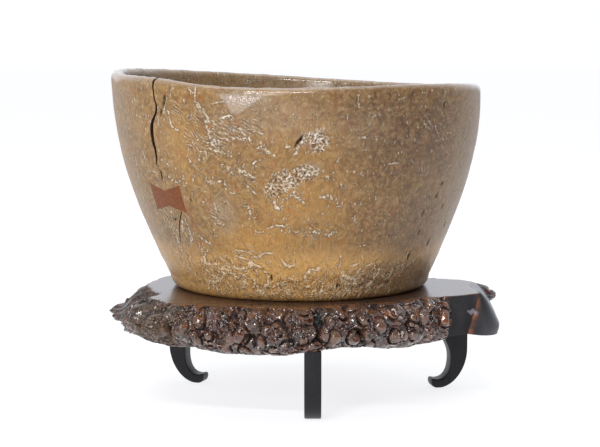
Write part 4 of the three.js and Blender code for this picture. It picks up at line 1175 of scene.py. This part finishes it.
def mark_bowl(bowl):
    """Marks where the wood's figure changes."""
    places = np.array([v.co for v in bowl.data.vertices]) / MM
    heights = places[:, 2] - SLAB_TOP
    share = heights / BOWL_HEIGHT
    x, y = places[:, 0] - BOWL_X - BOWL_LEAN * share, places[:, 1]
    azimuths = np.arctan2(y, x)
    lift = np.maximum(0, heights - FLOOR_THICKNESS) / (BOWL_HEIGHT - FLOOR_THICKNESS)
    heights = heights - rim_rise(azimuths) * lift**2
    degrees = np.degrees(azimuths)
    inward = outer_wall(heights) - np.hypot(x, y)
    unrolled(bowl, azimuths, heights, inward)
    outside = smoothstep(inward, 5, 3)
    back = outside * smoothstep(np.abs(wrapped(azimuths - math.pi / 2)), 1.7, 1.2)
    uneven, other = soft_noise(places, 16, 8), soft_noise(places, 21, 9)
    stroke, drawn = drawn_strokes(degrees, heights)
    marked(bowl, "stroke", stroke)
    marked(bowl, "drawn", drawn * outside)
    marked(bowl, "low", smoothstep(heights, *LOW_FADE) * outside)
    marked(bowl, "pit", smoothstep(pits(degrees, heights), 0.2, 0.8) * outside)
    marked(bowl, "worn", smoothstep(heights + 2 * uneven, *LIP_FADE))
    # Each kind of figure: its patches at the front, how much of it there is inside, and how much at the back,
    # where a noise has passed from the first number to the second.
    kinds = {
        "curl": (CURL_PATCHES, 0.4, 0.9, uneven, (-0.1, 0.3)),
        "net": (NET_PATCHES, 0, 0.9, uneven, (0.38, 0.52)),
        "hatch": (HATCH_PATCHES, 0.2, 0.8, other, (0.05, 0.35)),
        "upright": (UPRIGHT_PATCHES, 0, 0.6, other, (-0.1, -0.35)),
        "bleach": (BLEACH_AND_SHEEN_PATCHES, 0.7, 0.5, other, (0.2, -0.2)),
        "gold": (GOLD_PATCHES, 0, 0.5, uneven, (0.1, -0.3)),
        "umber": (UMBER_AND_SHADE_PATCHES, 0, 0, uneven, (0, 1)),
    }
    for name, (spots, inside, behind, blotches, span) in kinds.items():
        figure = patches(degrees, heights, spots) * outside + inside * (1 - outside)
        marked(bowl, name, figure + behind * back * smoothstep(blotches, *span))


def make_bowl_and_key(burl, bare, hardwood):
    bowl = bowl_blank()
    bowl.data.materials.append(burl)
    key = key_prism("let_in_key", 0, KEY_DEPTH)
    blank = bowl.copy()
    blank.data = bowl.data.copy()
    bpy.context.scene.collection.objects.link(blank)
    worked(key, "INTERSECT", [blank])
    key.data.materials.clear()
    key.data.materials.append(hardwood)
    pocket = key_prism("pocket_cutter", KEY_GAP, KEY_DEPTH + KEY_GAP)
    tools = [split_cutter(SPLIT_PATH), split_cutter(FOOT_SPLIT_PATH), pocket]
    # The walls that the cuts leave take the split's dark material, painted shade.
    for tool in tools:
        tool.data.materials.append(bare)
    worked(bowl, "DIFFERENCE", tools)
    mark_bowl(bowl)
    hand_over(bowl, "bowl", "bowl", 50)
    hand_over(key, "butterfly_key", "bowl", 50)


def top_edge():
    """Evenly spaced points round the polished top, and the way out from each."""
    fine = catmull_rom([(x, y, 0) for x, y in TOP_OUTLINE], np.arange(6400) / 6400, True)
    fine = np.array([p[:2] for p in fine])
    loop = np.vstack([fine, fine[:1]])
    along = np.concatenate([[0], np.cumsum(np.hypot(*np.diff(loop, axis=0).T))])
    stops = np.arange(EDGE_STEPS) / EDGE_STEPS * along[-1]
    places = np.column_stack([np.interp(stops, along, loop[:, 0]), np.interp(stops, along, loop[:, 1])])
    step = np.roll(places, -3, 0) - np.roll(places, 3, 0)
    out = np.column_stack([step[:, 1], -step[:, 0]])
    return places, out / np.hypot(*out.T)[:, None]


def edge_swell(azimuths, shares):
    """How far the bare edge stands out from the top's outline, and where it is cut smooth."""
    degrees = np.degrees(azimuths)
    cut = smoothstep(degrees, CUT_FROM - CUT_START_EASE, CUT_FROM + CUT_START_EASE)
    cut = cut * (1 - smoothstep(degrees, CUT_TO, CUT_TO + CUT_END_EASE))
    past_ridge = np.clip((degrees - CUT_RIDGE + RIDGE_SLANT * shares) / (CUT_TO - CUT_RIDGE), 0, 1)
    spread = (CUT_FLARE + CUT_DRAFT) * shares**FLARE_ROUNDNESS - FLARE_TUCK * smoothstep(shares, 0.78, 1.05)
    flare = (1 - np.exp(-past_ridge / FLARE_QUICKNESS)) * spread
    bulge = EDGE_BULGE + LEFT_BULGE * np.maximum(0, np.cos(azimuths - math.pi)) ** 3
    rough = bulge * np.sin(np.pi * shares) - UNDER_CUT * shares**4
    return rough * (1 - cut) + (flare - CUT_DRAFT * shares) * cut, cut


def hang_depth(azimuths):
    """How far the underside hangs down below the flat, by direction."""
    degrees = np.degrees(azimuths)
    return np.max([depth * band(degrees, middle, spread, 4) for middle, spread, depth in HANGS], axis=0)


def all_knobs():
    back = np.arange(BACK_KNOBS_FROM, BACK_KNOBS_TO, BACK_KNOB_PITCH)
    return KNOBS + [
        [azimuth, BACK_KNOB_HEIGHTS[i % 3], BACK_KNOB_RADII[i % 4], BACK_KNOB_STAND_OUT]
        for i, azimuth in enumerate(back)
    ]


def blurred(table, passes):
    """A table round the edge and down it, smoothed both ways."""
    for _ in range(passes):
        padded = np.vstack([table[:1], table, table[-1:]])
        beside = np.roll(table, 1, 1) + np.roll(table, -1, 1)
        table = table * 0.4 + beside * 0.175 + (padded[:-2] + padded[2:]) * 0.125
    return table


def nearest_two(points, size, seed):
    """How far each point is from the two nearest of many grains packed side by side, in sizes."""
    shift = Vector((seed * 5.3, seed * 1.9, seed * 8.1))
    return np.array([noise.voronoi(Vector(p) / size + shift)[0][:2] for p in points]).T


def past_polish(places):
    """How far places lie beyond the line where the polish ends at the left, negative where it is polished."""
    nearest, signed = np.full(len(places), 1e9), np.zeros(len(places))
    for start, end in zip(SLOPE_LINE, SLOPE_LINE[1:]):
        run = np.subtract(end, start)
        off = places - start
        off = off - np.clip(off @ run / (run @ run), 0, 1)[:, None] * run
        away = np.hypot(*off.T)
        closer = away < nearest
        side = np.sign(run[1] * off[:, 0] - run[0] * off[:, 1])
        signed[closer] = (away * side)[closer]
        nearest = np.minimum(nearest, away)
    return signed


def furrow_wave(azimuths, waves):
    """Furrows of the left end, side by side round it and pushed about by the waves."""
    return np.sin(azimuths * 100 * 2 * np.pi / FURROW_PITCH + 3 * waves)


def top_noise(places, size, seed):
    """Soft noise at places on the level top."""
    return soft_noise(np.column_stack([places, np.zeros(len(places))]), size, seed)


def left_fall(places, azimuths, waves):
    """How far the rough left end lies below the polish, and how rough it is there, 0 to 1."""
    beyond = past_polish(places) + 1.6 * waves
    rough = smoothstep(beyond, 0, 2)
    fall = SLOPE_DROP * smoothstep(beyond, 0, 9) + rough * (0.6 - 0.9 * furrow_wave(azimuths, waves))
    return np.maximum(fall, 0), rough


def top_bites(outline, azimuths):
    """How far the broken edge bites into the polished top, all round but at the smooth cut."""
    depth = 0.55 * top_noise(outline, 15, 21) + 0.3 * top_noise(outline, 5, 22) + 0.25
    _, cut = edge_swell(azimuths, 0)
    return BITE * np.maximum(depth, 0) * (1 - cut)


def knob_field(bare, outline, out, azimuths):
    """How far knobs stand out from each point of the bare edge, and how far off the two nearest are."""
    shape = bare.shape[:2]
    stand_out = np.zeros(shape)
    near, next_near = np.full(shape, 9.0), np.full(shape, 9.0)
    for azimuth, height, radius, proud in all_knobs():
        nearest = np.argmin(np.abs(wrapped(azimuths - math.radians(azimuth))))
        share = 1 - height / SLAB_THICKNESS
        offset = float(edge_swell(azimuths[nearest : nearest + 1], np.array([share]))[0][0])
        centre = np.array([*(outline[nearest] + offset * out[nearest]), LEG_HEIGHT + height])
        away = np.linalg.norm(bare - centre, axis=2) / radius
        next_near = np.minimum(next_near, np.maximum(near, away))
        near = np.minimum(near, away)
        stand_out = stand_out + (proud * dome(away, 1)) ** KNOB_BLEND
    return stand_out ** (1 / KNOB_BLEND), near, next_near


def slab_edge(outline, out, azimuths, bite):
    """Places of the edge's points ring by ring, with a mark of each kind for each point."""
    degrees = np.degrees(azimuths)
    shares = np.linspace(0, 1, EDGE_RINGS + 1)[:, None] ** 1.05
    swell, cut = edge_swell(azimuths[None], shares)
    shape = swell.shape
    flat = outline + (swell - bite * smoothstep(shares, 0.4, 0.0))[..., None] * out
    fall, _ = left_fall(outline, azimuths, top_noise(outline, *WAVES))
    heights = SLAB_TOP - shares * (SLAB_THICKNESS + hang_depth(azimuths)) - fall * (1 - shares) ** 1.5
    bare = np.dstack([flat, heights])
    stand_out, near, next_near = knob_field(bare, outline, out, azimuths)
    from_faces = np.minimum(shares, 1 - shares)
    left = FACE_RISE + (1 - FACE_RISE) * np.clip(from_faces / 0.1, 0, 1)
    way = np.dstack([np.broadcast_to(out, flat.shape), np.zeros(shape)])
    points = bare + (left * stand_out)[..., None] * way
    listed = points.reshape(-1, 3)
    cut = np.broadcast_to(cut, shape) * (1 - smoothstep(stand_out, 0.5, 2.5))

    # Deep creases part some of the knobs, folds run over them, and on them sit eggs, each in a socket with a
    # brim round it, or clusters of small bubbles.
    to_bubble, to_next = (part.reshape(shape) for part in nearest_two(listed, BUBBLE_PITCH, 2))
    bubble = dome(to_bubble, BUBBLE_RADIUS)
    to_egg = nearest_two(listed * (1, 1, EGG_SQUASH), EGG_PITCH, 1)[0].reshape(shape)
    waves, lumps, wide, spread, deep, drip, fine = (
        soft_noise(listed * (1, 1, lie), size, seed).reshape(shape)
        for size, seed, lie in (
            (*WAVES, 1), (9, 13, 1), (12, 14, 1), (8, 11, 1), (13, 16, 1), (7, 17, 0.45), (3.2, 18, 0.7)
        )
    )
    folds = band(wide, 0, 0.05) + band(drip, 0, 0.07)
    bubbly = smoothstep(spread, 0.03, 0.16)
    parted = smoothstep(next_near - near + 0.16 * waves, 0.0, 0.16)
    calm = 1 - 0.75 * smoothstep(degrees, *CALM_FADE)
    gap = (1 - parted) * (0.2 + 0.8 * smoothstep(deep, 0.02, 0.25)) * calm
    unbubbled = 1 - 0.8 * bubbly
    egg = dome(to_egg, EGG_RADIUS) * unbubbled
    socket = band(to_egg, SOCKET_RADIUS, LINE_WIDTH) * unbubbled
    brim = band(to_egg, BRIM_RADIUS, LINE_WIDTH) * unbubbled
    rims = band(near + 0.25 * lumps, 0.8, 0.07) * parted
    detail = lumps + 0.35 * waves + (0.55 - 0.4 * calm) * fine + 0.6 * folds + 0.5 * rims - 1.7 * gap - 0.8
    detail = detail + 2.4 * egg * calm - 1.2 * socket * calm + 0.7 * brim - 0.9
    detail = detail + bubbly * (1.7 * bubble * smoothstep(to_next - to_bubble, 0.0, 0.3) - 0.5)
    rear = smoothstep(degrees, CUT_TO, CUT_TO + REAR_RISE) * smoothstep(degrees, *REAR_FADE)
    detail = detail + 2.2 * rear * (soft_noise(listed, 3.2, 15).reshape(shape) + 0.6 * bubble - 0.5)
    raked = smoothstep(np.abs(degrees - RAKED_AT), *RAKED_FADE) * smoothstep(shares, 0.6, 0.35)
    furrows = furrow_wave(azimuths, waves) * raked * smoothstep(shares, 0, 0.06)
    detail = detail * (1 - 0.5 * raked) + 1.5 * furrows
    knot = np.linalg.norm((points - KNOT) * (1, 1, 1.6), axis=2) / KNOT_RADIUS
    knot_dent = 0.3 * np.exp(-((knot - 1) ** 2) * 14) - 0.3 * np.exp(-(knot**2) * 1.6)
    detail = detail * (1 - cut) * smoothstep(from_faces, -0.06, 0.08) + (0.16 * waves + knot_dent) * cut

    places = points + detail[..., None] * way
    pinch = LEFT_LOBE_PINCH * smoothstep(-places[..., 0], *LEFT_LOBE_FADE)
    places[..., 2] += (LEFT_LOBE_HEIGHT - places[..., 2]) * pinch
    for place, reach, up, outward in END_TOUCHES:
        touch = np.exp(-((np.linalg.norm(places - place, axis=2) / reach) ** 2))[..., None]
        places = places + touch * (outward * way + (0, 0, up))

    height_field = left * stand_out + detail
    sunk = blurred(height_field, SINK_PASSES) - height_field
    ridge_at = CUT_RIDGE - RIDGE_SLANT * shares
    chip = np.linalg.norm((points - CHIP_GLINT) * (1, 1, 1.5), axis=2) + 5 * fine + 4 * waves
    return places, {
        "egg": egg * calm * (1 - cut),
        # Painted shade near black in the creases, deep gaps and rear lumps; high spots paler, partly as
        # painted highlight.
        "hollow": np.maximum(smoothstep(sunk, 0.2, 1.3), np.maximum(0.8 * gap, 0.97 * rear)) * (1 - cut),
        "proud": smoothstep(-sunk, 0.1, 0.6) * (1 - cut),
        "cut": cut,
        "worn": 0.8 * band(degrees, ridge_at, RIDGE_WIDTH) * cut * smoothstep(shares, 0.04, 0.2),
        "flare": cut * smoothstep(degrees - ridge_at, 0.5, 6),
        "olive": band(degrees, OLIVE_AT, OLIVE_REACH, 4) * (1 - cut),
        "raked": raked,
        "chip": 0.8 * smoothstep(chip, *CHIP_GLINT_FADE),
    }


def slab_top(outline, out, azimuths, bite):
    """Rings of the top from the middle to its eased edge, with the rough slope that ends it at the left."""
    rings, roughness = [], []
    for scale in TOP_RINGS:
        flat = outline * scale - (bite * smoothstep(scale, BITE_FADE, 1.0))[:, None] * out
        fall, rough = left_fall(flat, azimuths, top_noise(flat, *WAVES))
        rings.append(np.column_stack([flat, SLAB_TOP - fall - TOP_EASE * smoothstep(scale, 0.985, 1.0)]))
        roughness.append(rough)
    return rings, roughness


def slab_rows():
    """The slab's points row by row, from the middle of the top to the underside, and its marks row by row."""
    outline, out = top_edge()
    azimuths = np.arctan2(outline[:, 1], outline[:, 0])
    bite = top_bites(outline, azimuths)
    points, edge_marks = slab_edge(outline, out, azimuths, bite)
    top, roughness = slab_top(outline, out, azimuths, bite)
    points[0] += np.column_stack([-TOP_EASE * out, np.full(len(out), -TOP_EASE_DROP)])
    under = [
        np.column_stack([points[-1][:, :2] - inset * out, np.full(len(out), LEG_HEIGHT)])
        for inset in (HANG_REACH, 2 * HANG_REACH)
    ]
    rows = [*top, *points, *under]
    above, below = len(top), len(under)
    marks = {name: np.pad(values, ((above, below), (0, 0))) for name, values in edge_marks.items()}
    # The underside all in painted shade.
    marks["hollow"][-below:] = 1
    marks["raked"][:above] = roughness
    marks["face"] = np.zeros((len(rows), EDGE_STEPS))
    marks["face"][:above] = 1 - np.array(roughness)
    wearing = (1 - roughness[-1]) * (1 - 0.7 * edge_marks["cut"][1]) * (1 - edge_marks["hollow"][1])
    for row, share in enumerate(EDGE_WEAR, above - WEAR_INSIDE):
        marks["worn"][row] = np.maximum(marks["worn"][row], share * wearing)
    return rows, marks


def make_slab(material):
    rows, marks = slab_rows()
    low, high = (np.array(corner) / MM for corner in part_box("burl_slab"))
    low, high = low + BOX_MARGIN, high - BOX_MARGIN
    high[2] = SLAB_TOP
    bm = bmesh.new()
    bmesh.ops.create_circle(bm, segments=EDGE_STEPS, radius=1)
    fresh, loop, rings = list(bm.verts), list(bm.edges), []
    for row in rows:
        rings.append(sorted(fresh, key=lambda v: (math.atan2(v.co.y, v.co.x) + 0.001) % (2 * math.pi)))
        if len(rings) < len(rows):
            grown = bmesh.ops.extrude_edge_only(bm, edges=loop)["geom"]
            fresh, loop = only(bmesh.types.BMVert, grown), only(bmesh.types.BMEdge, grown)
    for ring, row in zip(rings, rows):
        for vert, place in zip(ring, np.clip(row - (MIDDLE_X, 0, 0), low, high)):
            vert.co = place
    bmesh.ops.holes_fill(bm, edges=[e for e in bm.edges if e.is_boundary], sides=0)
    bmesh.ops.recalc_face_normals(bm, faces=bm.faces)
    bm.verts.index_update()
    order = np.array([v.index for ring in rings for v in ring])
    slab = mesh_object("slab", bm, material)
    for name, values in marks.items():
        by_vertex = np.zeros(len(order))
        by_vertex[order] = values.ravel()
        marked(slab, name, by_vertex)
    hand_over(slab, "burl_slab", "stand", 75)


def bezier(start, handle_a, handle_b, end, steps):
    """Points along a curve, without its start."""
    knots = start, handle_a, handle_b, end
    places = []
    for t in np.linspace(0, 1, steps + 1)[1:]:
        weights = ((1 - t) ** 3, 3 * t * (1 - t) ** 2, 3 * t * t * (1 - t), t**3)
        places.append(tuple(sum(w * p[k] for w, p in zip(weights, knots)) for k in (0, 1)))
    return places


def leg_outline():
    """The hooked leg from the side: in from its outer face, and up from just under the floor."""
    contact, thick, shank = (HOOK_CONTACT, 0), HOOK_THICKNESS, (LEG_SHANK, SHANK_HEIGHT)
    toe_handle = HOOK_CONTACT + 0.58 * (LEG_REACH - HOOK_CONTACT)
    nose, over = (LEG_REACH, 0.75 * thick), (LEG_REACH - HOOK_TIP, thick)
    outline = [(0, LEG_HEIGHT), (0, (LEG_HEIGHT + BEND_HEIGHT) / 2), (0, BEND_HEIGHT)]
    outline += bezier(outline[-1], (0, 0.46 * BEND_HEIGHT), (0.48 * HOOK_CONTACT, 0), contact, 22)
    outline += bezier(contact, (toe_handle, 0), (LEG_REACH, 0.2 * thick), nose, 8)
    outline += bezier(nose, (LEG_REACH, 1.1 * thick), (LEG_REACH - TIP_CORNER, 1.12 * thick), over, 8)
    inner_handle = LEG_SHANK + HOOK_EASE
    outline += bezier(over, (inner_handle, 0.96 * thick), (LEG_SHANK, 0.52 * SHANK_HEIGHT), shank, 18)
    shoulder = (LEG_SHOULDER, LEG_HEIGHT)
    knee = (LEG_SHANK, 1.45 * SHANK_HEIGHT), (LEG_SHOULDER - SHOULDER_EASE, 1.6 * SHANK_HEIGHT)
    return outline + bezier(shank, *knee, shoulder, 14)


def make_leg(name, place, material):
    x, y, azimuth = place
    bm = bmesh.new()
    outline = [bm.verts.new((in_x, -LEG_WIDTH / 2, up)) for in_x, up in leg_outline()]
    grown = bmesh.ops.extrude_face_region(bm, geom=[bm.faces.new(outline)])["geom"]
    bmesh.ops.translate(bm, verts=only(bmesh.types.BMVert, grown), vec=(0, LEG_WIDTH, 0))
    bmesh.ops.recalc_face_normals(bm, faces=bm.faces)
    long_edges = [e for e in bm.edges if abs(e.verts[0].co.y - e.verts[1].co.y) < 0.01]
    bmesh.ops.bevel(
        bm, geom=long_edges, offset=LEG_EASE, segments=4, profile=0.5, affect="EDGES", material=-1
    )
    for height, side in ((LEG_HEIGHT - LEG_TOP_GAP, 1), (FOOT_FLAT, -1)):
        everything = [*bm.verts, *bm.edges, *bm.faces]
        cut = bmesh.ops.bisect_plane(
            bm, geom=everything, dist=1e-4, plane_co=(0, 0, height), plane_no=(0, 0, side), clear_outer=True
        )["geom_cut"]
        bmesh.ops.holes_fill(bm, edges=only(bmesh.types.BMEdge, cut), sides=0)
    bearing = math.radians(azimuth)
    out_x, out_y = HOOK_CONTACT * math.cos(bearing), HOOK_CONTACT * math.sin(bearing)
    middle = (x - MIDDLE_X + out_x, y + out_y, -FOOT_FLAT)
    turn = Matrix.Translation(middle) @ Matrix.Rotation(bearing + math.pi, 4, "Z")
    bmesh.ops.transform(bm, matrix=turn, verts=bm.verts)
    bmesh.ops.recalc_face_normals(bm, faces=bm.faces)
    hand_over(mesh_object(name + "_carved", bm, material), name, "stand", 40)


def make_camera():
    """The photograph's view: a long lens just above the rim, pitched a little down."""
    data = bpy.data.cameras.new("camera")
    data.sensor_width = 36
    data.lens = CAMERA_LENS
    data.clip_start = 0.01
    camera = bpy.data.objects.new("camera", data)
    bpy.context.scene.collection.objects.link(camera)
    camera.location = CAMERA_PLACE
    camera.rotation_euler = (math.radians(90 - CAMERA_PITCH), 0, 0)
    bpy.context.scene.camera = camera


def make_floor():
    """A matt pale sweep, lit from below as a light table is, so that shadows on it stay soft and faint."""
    material, _ = fresh_material("floor_paper")
    finished(material, {
        "Base Color": "#8e8e8e",
        "Roughness": 0.9,
        "Specular IOR Level": 0.1,
        "Emission Color": "#fdfdff",
        "Emission Strength": 0.82,
    })
    bm = bmesh.new()
    bmesh.ops.create_grid(bm, x_segments=2, y_segments=2, size=9)
    mesh_object("floor", bm, material, 1)


def add_light(name, place, target, size, power):
    data = bpy.data.lights.new(name, "AREA")
    data.shape = "RECTANGLE"
    data.size, data.size_y = size
    data.energy = power
    light = bpy.data.objects.new(name, data)
    bpy.context.scene.collection.objects.link(light)
    light.location = place
    light.rotation_euler = (Vector(target) - Vector(place)).to_track_quat("-Z", "Y").to_euler()


def light_scene():
    """White from behind and a little from the left, nearly dark in front of the object, with four lamps.

    A soft key stands at the front left with a small lamp for glints over it, a wide softbox hangs above, and
    a narrow strip high in front draws the line of light on the lip.
    """
    world = bpy.data.worlds.new("studio")
    bpy.context.scene.world = world
    world.use_nodes = True
    tree = world.node_tree
    background = tree.nodes["Background"]
    way = add(tree, "TexCoord", give="Generated")
    towards = add(tree, "VectorMath", (way, (-0.17, 0.95, 0.1)), give="Value", operation="DOT_PRODUCT")
    feed(tree, background.inputs["Strength"], add(tree, "MapRange", (towards, -0.42, 0.53, 0.05, 1.12)))
    feed(tree, background.inputs["Color"], "#f4f8ff")
    add_light("key_softbox", (-0.42, -1.28, 0.38), (0, 0, 0.12), (0.4, 0.4), 5.0)
    add_light("glint_lamp", (-0.5, -1.1, 0.62), (0, 0, 0.1), (0.12, 0.12), 2.6)
    add_light("top_softbox", (-0.1, 0.1, 1.6), (0, 0, 0.1), (1.2, 1.2), 6.5)
    add_light("front_strip", (-0.23, -1.15, 1.13), (0, 0, 0.17), (0.9, 0.06), 13)
    bpy.context.scene.view_settings.view_transform = "Standard"


make_camera()
light_scene()
make_floor()
make_bowl_and_key(waxed_burl(), split_shade(), key_hardwood())
make_slab(polished_slab())
leg_wood = black_hardwood()
for leg_name, leg_place in LEGS.items():
    make_leg(leg_name, leg_place, leg_wood)
